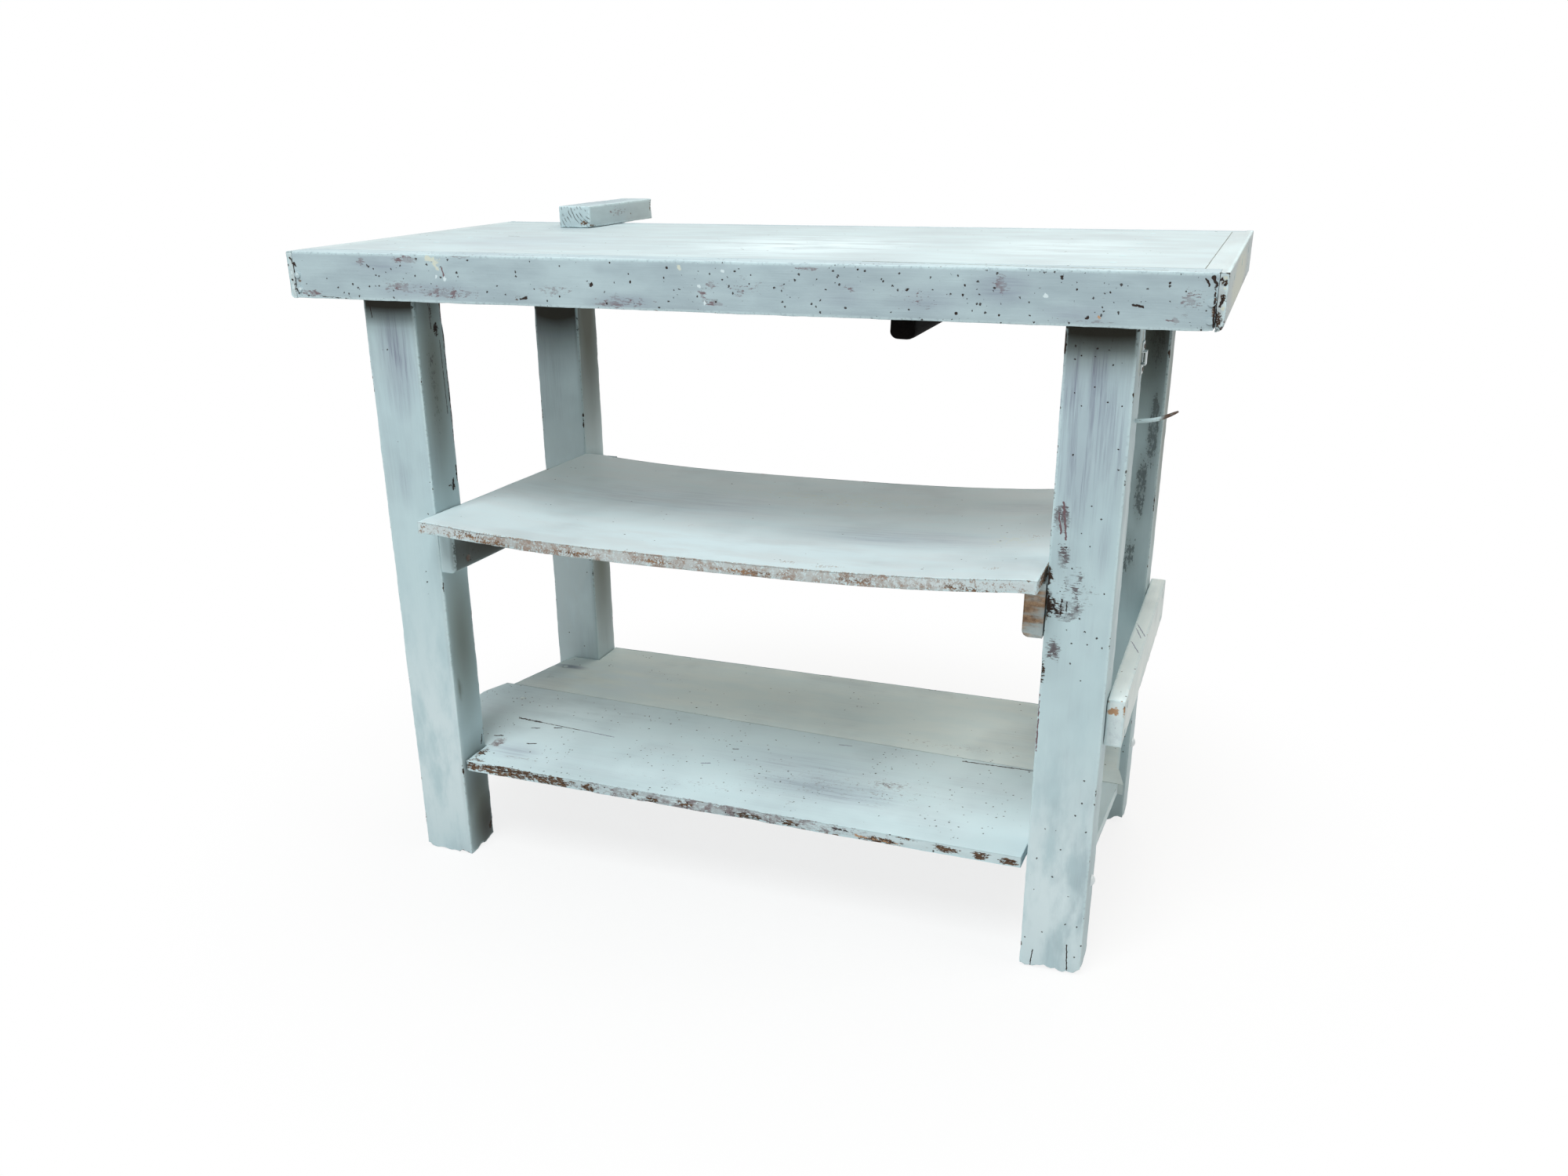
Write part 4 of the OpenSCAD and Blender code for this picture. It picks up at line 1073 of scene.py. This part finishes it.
LINES = {
    "front_edge_board": (
        spots("dark", FRONT, (-502, 818, 1.2), (-208, 813, 1.3), (-173, 840, 1.2), (-175, 806, 1.3),
              (-133, 820, 3.2), (-108, 845, 1.3), (-83, 824, 2), (-85, 833, 1.3), (-41, 830, 1.2),
              (-37, 841, 1.9), (64, 836, 1.2), (62, 826, 1.2), (91, 823, 1.4), (163, 836, 1.4),
              (186, 844, 1.6), (214, 833, 1.7), (240, 825, 2.4), (302, 831, 1.3), (300, 822, 2),
              (294, 802, 2), (339, 802, 1.5), (400, 842, 2.1), (416, 830, 1.2), (449, 828, 1.3),
              (428, 803, 2.2), (505, 839, 1.4))
        + lines("cream", FRONT, (-353, 845, -343, 843, 3.6), (-343, 840, -339, 833, 2.8))
        + lines("rub", FRONT, (-333, 834, -330, 822, 1.5))
        + spots("white", FRONT, (385, 823, 2.6), (31, 839, 3.2), (-546, 823, 2.8), (-330, 822, 3.4),
                (-341, 824, 2.6), (2, 822, 2.4), (8, 804, 3), (-543.5, 804.5, 2.4))
        + lines("dark", FRONT, (-228, 801, -219, 803, 1.8), (472, 817, 482, 815, 1.5),
                (-550, 835, -547.5, 832.5, 2.2), (-550, 832, -549.5, 806, 0.8),
                (-548.5, 804, -547.5, 799, 1.6), (-545, 797, -533, 796, 0.9), (538, 843, 542, 838, 1.5),
                (545, 846, 548.5, 838, 1.9), (-538, 797, -470, 794.5, 0.8), (548, 836, 550, 798, 1.3))
        + spots("bare", FRONT, (440, 804, 2.2))
        + spots("cream", FRONT, (-21.5, 842, 3.2))
        + lines("shade", TOP, (182, -279, 500, -301, 1.9))
    ),
    "left_end_board": (
        lines("dark", FRONT, (-555, 841, -552.5, 838.5, 1.8))
        + spots("white", FRONT, (-555, 807, 2.8), (-554, 824, 2.6))
        + spots("dark", FRONT, (-555, 815, 1.6))
    ),
    "right_end_board": (
        spots("dark", FRONT, (556, 839, 1.9), (556.5, 830, 2), (555.5, 822, 1.8), (553.5, 809, 2))
        + spots("cream", FRONT, (557, 845, 2.6), (557, 834.5, 2.4), (557, 816, 2.8))
        + lines("dark", FRONT, (552, 804, 556, 797, 1.4), (553, 843, 557.5, 838, 1.8),
                (556, 827, 553.5, 818, 1.6), (551, 794, 555.5, 798.5, 1.8))
        + lines("rub", FRONT, (556, 799, 559, 805, 1.8))
    ),
    "planks": (
        lines("dark", TOP, (-398, -43, -383, -43, 1.6))
        + lines("shade", TOP, (535, -277, 535, 204, 0.9))
        + spots("dark", TOP, (515, 203, 2.2), (-210, -120, 1.4), (60, -160, 1.5), (270, 60, 1.4))
    ),
    "front_left_leg": (
        lines("dark", LEFT_LEG_INSIDE, (-246, 792, -244, 752, 0.9), (-228, 735, -226, 640, 0.8),
              (-219, 780, -217.5, 600, 1.3), (-229, 551, -230, 539, 3.2), (-219, 568, -218, 548, 2.2),
              (-236, 546, -240, 546, 1.2), (-222, 170, -226, 158, 1.6))
        + spots("dark", LEFT_LEG_INSIDE, (-233, 752, 5.6), (-233, 744, 3.2))
        + lines("dark", LEG_FRONT, (-468, 790, -466, 768, 1))
    ),
    "front_right_leg": (
        spots("dark", LEG_FRONT, (437, 768, 1.3), (421, 760, 1.1), (454, 752, 1.3), (437, 728, 1.1),
              (417, 721, 1), (452, 713, 1.1), (425, 708, 1), (467, 710, 1), (467, 664, 1.2),
              (420, 655, 1.1), (444, 600, 1.1), (436, 569, 1), (446, 555, 1.1), (429, 528, 1.2),
              (466, 502, 1), (418, 500, 1.1), (432, 494, 1), (441, 470, 1.2), (428, 455, 1),
              (452, 440, 1))
        + lines("dark", LEG_FRONT, (403, 528, 404, 506, 2.4), (404, 495, 407, 470, 3.6),
                (410, 484, 416, 474, 2.2), (420, 491, 420, 472, 1.2), (426, 488, 426, 474, 1),
                (462, 2, 459, 42, 0.9), (416, 2, 418, 26, 0.8))
        + lines("rub", LEG_FRONT, (414, 602, 420, 560, 1.4), (410, 590, 414, 566, 1.2),
                (403.5, 372, 404, 300, 1.2))
        + lines("rub", RIGHT_LEG_OUTSIDE, (-240, 792, -238, 772, 1.2))
        + lines("dark", RIGHT_LEG_OUTSIDE, (-239, 738, -238, 724, 1))
    ),
    "lower_front_board": (
        lines("dark", LOWER_TOP, (-404, -113.5, -366, -116.5, 2.3), (-366, -116.5, -296, -122, 1.1),
              (-443, -210, -386, -243, 1), (-368, -139, -357, -136, 1.8), (-336, -127, -326, -124, 1.8),
              (-347, -190, -335, -186, 2), (-407, -182, -396, -178, 2), (267, -33, 365, -30, 1.5),
              (-55, -105, -48, -103, 1.4))
        + lines("streak", LOWER_TOP, (-296, -122, -237, -127, 1.1), (86, -40, 104, -38, 1.2),
                (-80, -163, -68, -159, 1.5))
        + lines("dark", LOWER_EDGE, (-398, 145, -392, 146, 1.4), (-396, 141, -388, 140, 1.2),
                (-376, 146, -330, 143, 1.9), (-366, 141, -318, 140, 1.7), (-310, 143, -264, 139, 1.5),
                (8, 141, 52, 137.5, 2.2), (58, 137.5, 84, 137, 1.5), (150, 145, 172, 143.5, 1.5))
        + lines("bare", LOWER_EDGE, (180, 140, 240, 137, 2.2))
    ),
    "side_stretcher": (
        lines("bare", STRETCHER_END, (484, 355.5, 487.5, 355.5, 5.6))
        + lines("streak", STRETCHER_TOP, (480, 13, 496, -35, 1), (479, 2, 492, -44, 0.8),
                (482, -60, 495, -98, 0.9))
    ),
}


# Pieces

# How the paint looks on each board, in the terms of painted_wood; the lighter tints of some boards that
# lie in shade are painted light
EDGE_LOOK = {"axis": ALONG_X, "tint": (152, 168, 176), "worms": 1.7}
END_LOOK = {"axis": ALONG_Y, "tint": (180, 189, 191), "worms": 0.2, "light_chips": 0.1}
LEG_LOOK = {"axis": ALONG_Z, "streaks": 0.3, "worms": 0.08, "arris": 0.98, "light_chips": 0.08,
            "scuff_axis": ALONG_X, "rub_tone": (84, 70, 74)}
LOOKS = {
    "front_edge_board": EDGE_LOOK,
    "back_edge_board": EDGE_LOOK,
    "left_end_board": END_LOOK,
    "right_end_board": END_LOOK,
    "planks": {"axis": ALONG_X, "tint": (170, 181, 185), "streaks": 0.1, "worms": 0.12, "grime": 0.05},
    "front_left_leg": {**LEG_LOOK, "worms": 0.04},
    "front_right_leg": {**LEG_LOOK, "worms": 0.22},
    # Lighter tint as painted light on a leg that stands in shade
    "back_left_leg": {**LEG_LOOK, "tint": (222, 238, 243)},
    "back_right_leg": LEG_LOOK,
    "middle_shelf": {"axis": ALONG_X, "tint": (204, 212, 214), "streaks": 0.15, "worms": 0.1,
                     "rubbed": 0.15, "grime": 0.15, "light_chips": 0.7, "scuff_axis": ALONG_Y,
                     "rub_tone": (150, 128, 114)},
    "left_batten": {"axis": ALONG_Y},
    # The lower shelf's two lighter tints are painted light on boards in the middle shelf's shade
    "lower_front_board": {"axis": ALONG_X, "tint": (203, 218, 222), "worms": 1.0, "rubbed": 0.3,
                          "light_chips": 0.3, "rub_tone": (120, 106, 108)},
    "lower_back_board": {"axis": ALONG_X, "tint": (222, 231, 228), "grime": 0.15},
    # Near-white tint as painted light on a stretcher in the top's shade
    "side_stretcher": {"axis": ALONG_Y, "tint": (236, 244, 243), "light_chips": 1.0, "worms": 0.1},
    "stop_block": {"axis": ALONG_Y, "tint": (160, 175, 180), "worms": 0.4},
    "rails": {"axis": ALONG_Y, "grime": 0.5},
    "nails": {"axis": ALONG_X, "worms": 0.0},
}


def paint_for(board, **more):
    """The paint of one board, with the look and the lines of that board."""
    return painted_wood(f"paint_{board}", lines=LINES.get(board, ()), **LOOKS[board], **more)


def plain_board(node):
    """A plain block in the place of a frame node."""
    return block(f"worn_{node}", *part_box(node))


def make_board(node, piece=None, board=None, body=BENCH, slot=PAINTED, material=None, **cuts):
    """Wears a plain piece, paints it and puts it in the place of its frame node."""
    board = board or node
    piece = wear_board(piece or plain_board(node), MARKS.get(board, ()), **cuts)
    return finish_board(piece, node, body, material or paint_for(board))


def end_board(node):
    """A plain end board: a lip across the edge boards' ends, the rest between them, rounded outside."""
    low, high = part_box(node)
    at_left = low.x < 0
    outer = low.x if at_left else high.x
    front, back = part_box("front_edge_board"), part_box("back_edge_board")
    rebate = front[LOW].x if at_left else front[HIGH].x
    middle = (low + high) / 2
    deselect_all()
    bpy.ops.mesh.primitive_plane_add(size=1, location=(middle.x, middle.y, low.z))
    piece = name_piece(bpy.context.object, f"worn_{node}")
    piece.scale = high - low
    bpy.ops.object.transform_apply(location=True, rotation=True, scale=True)
    cut(piece, ALONG_X, [rebate])
    cut(piece, ALONG_Y, [front[HIGH].y, back[LOW].y])
    bpy.ops.object.mode_set(mode="EDIT")
    bpy.ops.mesh.select_mode(type="FACE")
    bpy.ops.mesh.select_all(action="DESELECT")
    shape = bmesh.from_edit_mesh(piece.data)
    for part in shape.faces:
        centre = part.calc_center_median()
        part.select = abs(centre.x) < abs(rebate) and not front[HIGH].y < centre.y < back[LOW].y
    bmesh.update_edit_mesh(piece.data)
    bpy.ops.mesh.delete(type="FACE")
    bpy.ops.mesh.select_all(action="SELECT")
    bpy.ops.mesh.dissolve_limited(angle_limit=FLAT_ANGLE)
    bpy.ops.mesh.extrude_region_move(TRANSFORM_OT_translate={"value": (0, 0, high.z - low.z)})
    bpy.ops.mesh.select_all(action="SELECT")
    bpy.ops.mesh.normals_make_consistent(inside=False)
    leave_edges()

    def is_outer(a, b):
        return max(abs(a.x - outer), abs(b.x - outer)) < CLOSE

    round_edges(piece, lambda a, b: is_outer(a, b) and max(a.z, b.z) < low.z + CLOSE,
                5 * MM if at_left else 8 * MM, 6)
    if at_left:
        round_edges(piece, lambda a, b: is_outer(a, b) and min(a.z, b.z) > high.z - CLOSE,
                    2.5 * MM, 4)
    return piece


def on_the_outside(place):
    """Whether a place on the top's boards is on its outside or its underside."""
    low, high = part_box("left_end_board")[LOW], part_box("right_end_board")[HIGH]
    at_side = min(place.x - low.x, high.x - place.x, place.y - low.y, high.y - place.y) < 12 * MM
    seam = min(abs(abs(place.x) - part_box("front_edge_board")[HIGH].x), 9 * MM) < CLOSE
    return (at_side and not seam) or place.z < low.z + 5 * MM


class WORKBENCH_OT_edge_boards(Operator):
    """Models the four boards round the edge of the top"""

    bl_idname = "workbench.edge_boards"
    bl_label = "Edge boards"

    def execute(self, context):
        cuts = {"pitch": 4 * MM, "fine": (2.5, 6), "open_to": on_the_outside}
        for node in ("front_edge_board", "back_edge_board"):
            make_board(node, **cuts)
        for node in ("left_end_board", "right_end_board"):
            make_board(node, end_board(node), **cuts)
        return {"FINISHED"}


def under_the_top(place):
    """Whether a place is on the underside of the planks."""
    return place.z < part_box("front_plank")[LOW].z + CLOSE


class WORKBENCH_OT_planks(Operator):
    """Models the planks of the top, flush and painted over"""

    bl_idname = "workbench.planks"
    bl_label = "Planks"

    def execute(self, context):
        for node in ("front_plank", "middle_plank", "back_plank"):
            make_board(node, board="planks", arris=0, arris_share=0, hollow_share=0.5, pitch=8 * MM,
                       fine=(4,), open_to=under_the_top)
        return {"FINISHED"}


class WORKBENCH_OT_bearer(Operator):
    """Models the dark bearer under the top"""

    bl_idname = "workbench.bearer"
    bl_label = "Bearer"

    def execute(self, context):
        # The bearer's near-black colour is dark old wood, darkened further as painted shade
        dark = bare_wood("dark_bare_wood", ALONG_Y, (5, 4, 4), (15, 12, 10), shine=0.05)
        piece = plain_board("cross_bearer")
        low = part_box("cross_bearer")[LOW]
        round_edges(piece, lambda a, b: max(a.z, b.z) < low.z + CLOSE and abs(a.x - b.x) < CLOSE,
                    9 * MM, 6)
        make_board("cross_bearer", piece, slot="bare_dark_wood", material=dark, arris=1.5 * MM,
                   fine=(4,), straight=False, pitch=7 * MM)
        return {"FINISHED"}


# Where a foot is worn away: its middle and reach in the ground plan and how far it is lifted, in mm
FOOT_LIFTS = {
    "front_left_leg": ((-402, -215, 24, 24, 6), (-416, -277, 9, 16, 5), (-432, -277, 7, 12, 2.5),
                       (-450, -277, 10, 14, 3.5), (-478, -277, 12, 16, 5), (-402, -250, 8, 10, 4)),
    "front_right_leg": ((430, -277, 15, 20, 6), (446, -277, 8, 16, 4), (483, -277, 18, 30, 9),
                        (402, -277, 12, 14, 3.5), (414, -277, 6, 12, 2.5), (462, -277, 6, 12, 3)),
    "back_left_leg": ((-402, 142, 20, 20, 5), (-478, 204, 18, 18, 4)),
    "back_right_leg": ((478, 142, 26, 30, 12), (430, 142, 16, 14, 4), (402, 204, 16, 16, 3)),
}
# How high above the floor a lift has faded out, in mm
FOOT_ZONE = 30.0


def wear_foot(piece, lifts):
    """Lifts the ragged places of a foot off the floor."""
    seed = settings().wear.seed
    raised = []
    for vertex in piece.data.vertices:
        x, y, z = (c / MM for c in vertex.co)
        lift = 0.0
        for middle_x, middle_y, reach_x, reach_y, high in lifts:
            gap = math.hypot((x - middle_x) / reach_x, (y - middle_y) / reach_y)
            ragged = 0.8 + 0.6 * wave(vertex.co, FOOT_GRAIN, seed)
            lift = max(lift, high * min(fade(gap, 1.0) * 1.5, 1.0) * ragged)
        raised.append(lift * MM * max(1 - z / FOOT_ZONE, 0.0))
    displace(piece, "foot", raised, "Z", 1)


class WORKBENCH_OT_legs(Operator):
    """Models the four legs with their ragged feet"""

    bl_idname = "workbench.legs"
    bl_label = "Legs"

    def execute(self, context):
        for node, lifts in FOOT_LIFTS.items():
            piece = wear_board(plain_board(node), MARKS[node], pitch=4.5 * MM)
            wear_foot(piece, lifts)
            finish_board(piece, node, BENCH, paint_for(node))
        return {"FINISHED"}


# The mesh lines of the bowed, sloping and notched boards
SHELF_CUTS = {"pitch": 7 * MM, "straight": False, "fine": (2.5, 6)}


class WORKBENCH_OT_middle_shelf(Operator):
    """Models the bowed board that lies on the battens"""

    bl_idname = "workbench.middle_shelf"
    bl_label = "Middle shelf"

    def execute(self, context):
        make_board("middle_shelf", copy_of_node("middle_shelf"), body=SHELF, slot=PAINTED_SHELF,
                   **SHELF_CUTS)
        return {"FINISHED"}


class WORKBENCH_OT_battens(Operator):
    """Models the two battens under the middle shelf"""

    bl_idname = "workbench.battens"
    bl_label = "Battens"

    def execute(self, context):
        bare = bare_wood("bare_batten", ALONG_Y, (128, 100, 78), (186, 154, 124), 0.75)
        for node, slot, material in (("left_batten", PAINTED, None),
                                     ("right_batten", "bare_worn_wood", bare)):
            make_board(node, copy_of_node(node), slot=slot, material=material, straight=False,
                       fine=(2.5,), pitch=6 * MM)
        return {"FINISHED"}


def away_from_seam(place):
    """Whether a place is clear of the painted seam of the lower shelf's boards."""
    front_high, back_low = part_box("lower_front_board")[HIGH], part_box("lower_back_board")[LOW]
    return not back_low.y - 3 * MM < place.y < front_high.y + 3 * MM


class WORKBENCH_OT_lower_shelf(Operator):
    """Models the two boards of the lower shelf, notched round the legs"""

    bl_idname = "workbench.lower_shelf"
    bl_label = "Lower shelf"

    def execute(self, context):
        for node in ("lower_front_board", "lower_back_board"):
            make_board(node, copy_of_node(node), slot=PAINTED_SHELF, open_to=away_from_seam,
                       **SHELF_CUTS)
        return {"FINISHED"}


class WORKBENCH_OT_stretcher(Operator):
    """Models the stretcher outside the right-hand legs"""

    bl_idname = "workbench.stretcher"
    bl_label = "Stretcher"

    def execute(self, context):
        make_board("side_stretcher", arris=1.8 * MM, fine=(3, 7))
        return {"FINISHED"}


class WORKBENCH_OT_stop_block(Operator):
    """Models the block on the back of the top"""

    bl_idname = "workbench.stop_block"
    bl_label = "Stop block"

    def execute(self, context):
        low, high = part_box("stop_block")
        heart = Vector((high.x + 15 * MM, low.y, high.z + 10 * MM))
        make_board("stop_block", material=paint_for("stop_block", rings=heart), arris=1.8 * MM,
                   fine=(3, 7), pitch=4 * MM)
        return {"FINISHED"}


# The bent nail's middle line from inside the leg to its tip, in mm, with its radius at each point
HOOK_LINE = (
    ((460, -240.5, 686.5), 2.25), ((478, -240.5, 688), 2.25), ((486, -240.5, 688.6), 2.25),
    ((494, -240.5, 689.6), 2.25), ((501, -240.5, 691.2), 2.2), ((507, -240.5, 693.4), 2.1),
    ((513, -240.5, 696.2), 1.9), ((518, -240.5, 698.8), 1.5), ((521.3, -240.5, 700.6), 0.9),
)
HOOK_SIDES = 16
# Where along X the paint on the hook ends
HOOK_PAINT_END = 509 * MM


def rod(name, line, sides):
    """A bent rod: a ring at each point of its middle line, bridged and closed at the ends."""
    deselect_all()
    points = [Vector(place) * MM for place, radius in line]
    for i, (place, radius) in enumerate(line):
        ahead = points[min(i + 1, len(points) - 1)] - points[max(i - 1, 0)]
        bpy.ops.mesh.primitive_circle_add(vertices=sides, radius=radius * MM, location=points[i],
                                          rotation=ahead.to_track_quat("Z", "Y").to_euler())
        if i == 0:
            piece = name_piece(bpy.context.object, name)
            bpy.ops.object.transform_apply(location=True, rotation=True, scale=True)
            bpy.ops.object.mode_set(mode="EDIT")
    bpy.ops.mesh.select_all(action="SELECT")
    bpy.ops.mesh.bridge_edge_loops()
    bpy.ops.mesh.select_all(action="SELECT")
    bpy.ops.mesh.fill_holes(sides=0)
    bpy.ops.mesh.select_all(action="SELECT")
    bpy.ops.mesh.normals_make_consistent(inside=False)
    bpy.ops.object.mode_set(mode="OBJECT")
    return piece


class WORKBENCH_OT_fittings(Operator):
    """Gives the nails, screws, pegs and rails of the frame their finish"""

    bl_idname = "workbench.fittings"
    bl_label = "Fittings"

    def execute(self, context):
        hook = rod("bent_nail_hook", HOOK_LINE, HOOK_SIDES)
        finish_board(hook, "nail_hook", BENCH,
                     rusty_steel("rusty_hook", 0.95, HOOK_PAINT_END))
        finishes = (
            (paint_for("nails"),
             ("plank_nails", "end_board_nails", "stretcher_screws", "stop_block_screws")),
            (paint_for("front_edge_board"), ("corner_nails",)),
            (paint_for("lower_back_board"), ("lower_shelf_nails",)),
            (paint_for("rails"),
             ("left_upper_rail", "right_upper_rail", "left_lower_rail", "right_lower_rail")),
            (bare_wood("bare_pegs", ALONG_X, (120, 84, 58), (176, 136, 100)), ("upper_rail_pegs",)),
            (rusty_steel("rusty_steel"),
             ("edge_board_screws", "bearer_screws", "batten_screws", "keeper_screws")),
            (rusty_steel("painted_metal", 0.9), ("lower_rail_bolts", "latch_keeper")),
        )
        for material, nodes in finishes:
            for node in nodes:
                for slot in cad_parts[node].material_slots:
                    slot.material = material
        return {"FINISHED"}


# Stage

def seen_directly(tree):
    """1 for rays from the camera, mirrors and glass."""
    path = tree.nodes.new("ShaderNodeLightPath").outputs
    seen = larger(tree, path["Is Camera Ray"], path["Is Glossy Ray"])
    return larger(tree, seen, path["Is Transmission Ray"])


def floor_material():
    """A pale floor that keeps the shadow and turns white away from the bench."""
    material = bpy.data.materials.new("pale_floor")
    tree = empty_tree(material)
    place = tree.nodes.new("ShaderNodeTexCoord").outputs["Object"]
    away = add_node(tree, "ShaderNodeVectorMath", {0: place}, operation="LENGTH").outputs["Value"]
    share = times(tree, mix_value(tree, step(tree, away, 0.3, 1.0), 0.8, 1.0), seen_directly(tree))
    plain = add_node(tree, "ShaderNodeBsdfDiffuse", {"Color": (0.8, 0.8, 0.8, 1.0)})
    white = add_node(tree, "ShaderNodeEmission", {"Strength": 1.0})
    both = add_node(tree, "ShaderNodeMixShader",
                    {0: share, 1: plain.outputs["BSDF"], 2: white.outputs["Emission"]})
    add_node(tree, "ShaderNodeOutputMaterial", {"Surface": both.outputs["Shader"]})
    return material


def white_world(ambient):
    """Plain light all round, seen as white."""
    world = bpy.data.worlds.new("studio")
    bpy.context.scene.world = world
    tree = empty_tree(world)
    light = add_node(tree, "ShaderNodeBackground",
                     {"Color": (1.0, 0.955, 0.87, 1.0), "Strength": ambient})
    white = add_node(tree, "ShaderNodeBackground", {"Color": (1, 1, 1, 1), "Strength": 1.0})
    both = add_node(tree, "ShaderNodeMixShader", {0: seen_directly(tree),
                                                  1: light.outputs["Background"],
                                                  2: white.outputs["Background"]})
    add_node(tree, "ShaderNodeOutputWorld", {"Surface": both.outputs["Shader"]})


# A large square lamp: its place, the place that it points at, its size and its colour
Lamp = namedtuple("Lamp", "place aim size tint")
LAMPS = {
    "key_lamp": Lamp((-0.2, -2.0, 3.35), (0, 0, 0.45), 1.7, (0.94, 0.99, 1.0)),
    "side_lamp": Lamp((2.3, 0.0, 3.1), (0, 0, 0.5), 1.4, (1.0, 0.96, 0.9)),
    "back_lamp": Lamp((0.3, 2.6, 2.3), (0, 0, 0.4), 1.8, (1.0, 0.96, 0.88)),
}
FLOOR_SIZE = 40.0
SENSOR_WIDTH = 36.0


def soft_lamp(name, lamp, power):
    """Adds one of the lamps, with its power."""
    deselect_all()
    turn = (Vector(lamp.aim) - Vector(lamp.place)).to_track_quat("-Z", "Y").to_euler()
    bpy.ops.object.light_add(type="AREA", location=lamp.place, rotation=turn)
    light = name_piece(bpy.context.object, name)
    light.data.size = lamp.size
    light.data.energy = power
    light.data.color = lamp.tint
    light.visible_glossy = name != "back_lamp"


class WORKBENCH_OT_stage(Operator):
    """Sets the floor, the lamps, the world and the camera"""

    bl_idname = "workbench.stage"
    bl_label = "Stage"

    def execute(self, context):
        stage = settings().stage
        deselect_all()
        bpy.ops.mesh.primitive_plane_add(size=FLOOR_SIZE, location=(0, 0, 0))
        floor = name_piece(context.object, "floor")
        floor.data.materials.append(floor_material())
        white_world(stage.ambient)
        for name, lamp in LAMPS.items():
            soft_lamp(name, lamp, getattr(stage, name))
        turn = Matrix.Rotation(stage.camera_yaw, 3, "Z")
        turn = turn @ Matrix.Rotation(math.pi / 2 + stage.camera_pitch, 3, "X")
        turn = turn @ Matrix.Rotation(stage.camera_roll, 3, "Z")
        bpy.ops.object.camera_add(location=stage.camera_place, rotation=turn.to_euler())
        camera = name_piece(context.object, "camera")
        camera.data.sensor_width = SENSOR_WIDTH
        camera.data.lens = stage.lens
        camera.data.shift_x, camera.data.shift_y = stage.shift
        context.scene.camera = camera
        context.scene.view_settings.view_transform = "Standard"
        return {"FINISHED"}


PIECE_OPERATORS = (
    WORKBENCH_OT_edge_boards, WORKBENCH_OT_planks, WORKBENCH_OT_bearer, WORKBENCH_OT_legs,
    WORKBENCH_OT_middle_shelf, WORKBENCH_OT_battens, WORKBENCH_OT_lower_shelf,
    WORKBENCH_OT_stretcher, WORKBENCH_OT_stop_block, WORKBENCH_OT_fittings, WORKBENCH_OT_stage,
)


class WORKBENCH_PT_panel(Panel):
    """Lists the steps that make the workbench"""

    bl_label = "Workbench"
    bl_idname = "WORKBENCH_PT_panel"
    bl_space_type = "VIEW_3D"
    bl_region_type = "UI"
    bl_category = "Workbench"

    def draw(self, context):
        for operator in PIECE_OPERATORS:
            self.layout.operator(operator.bl_idname)
        for group in settings():
            box = self.layout.box()
            for name in group.bl_rna.properties.keys():
                if name not in ("rna_type", "name"):
                    box.prop(group, name)


GROUPS = (("bench_paint", PaintSettings), ("bench_wear", WearSettings), ("bench_stage", StageSettings))


def register():
    for name, group in GROUPS:
        bpy.utils.register_class(group)
        setattr(bpy.types.Scene, name, PointerProperty(type=group))
    for operator in PIECE_OPERATORS:
        bpy.utils.register_class(operator)
    bpy.utils.register_class(WORKBENCH_PT_panel)


def unregister():
    bpy.utils.unregister_class(WORKBENCH_PT_panel)
    for operator in reversed(PIECE_OPERATORS):
        bpy.utils.unregister_class(operator)
    for name, group in reversed(GROUPS):
        delattr(bpy.types.Scene, name)
        bpy.utils.unregister_class(group)


def corners(bounds):
    """Two corners as plain lists of numbers."""
    return [[float(c) for c in corner] for corner in bounds]


def main():
    register()
    for operator in PIECE_OPERATORS:
        group, name = operator.bl_idname.split(".")
        getattr(getattr(bpy.ops, group), name)()


if __name__ == "__main__":
    main()
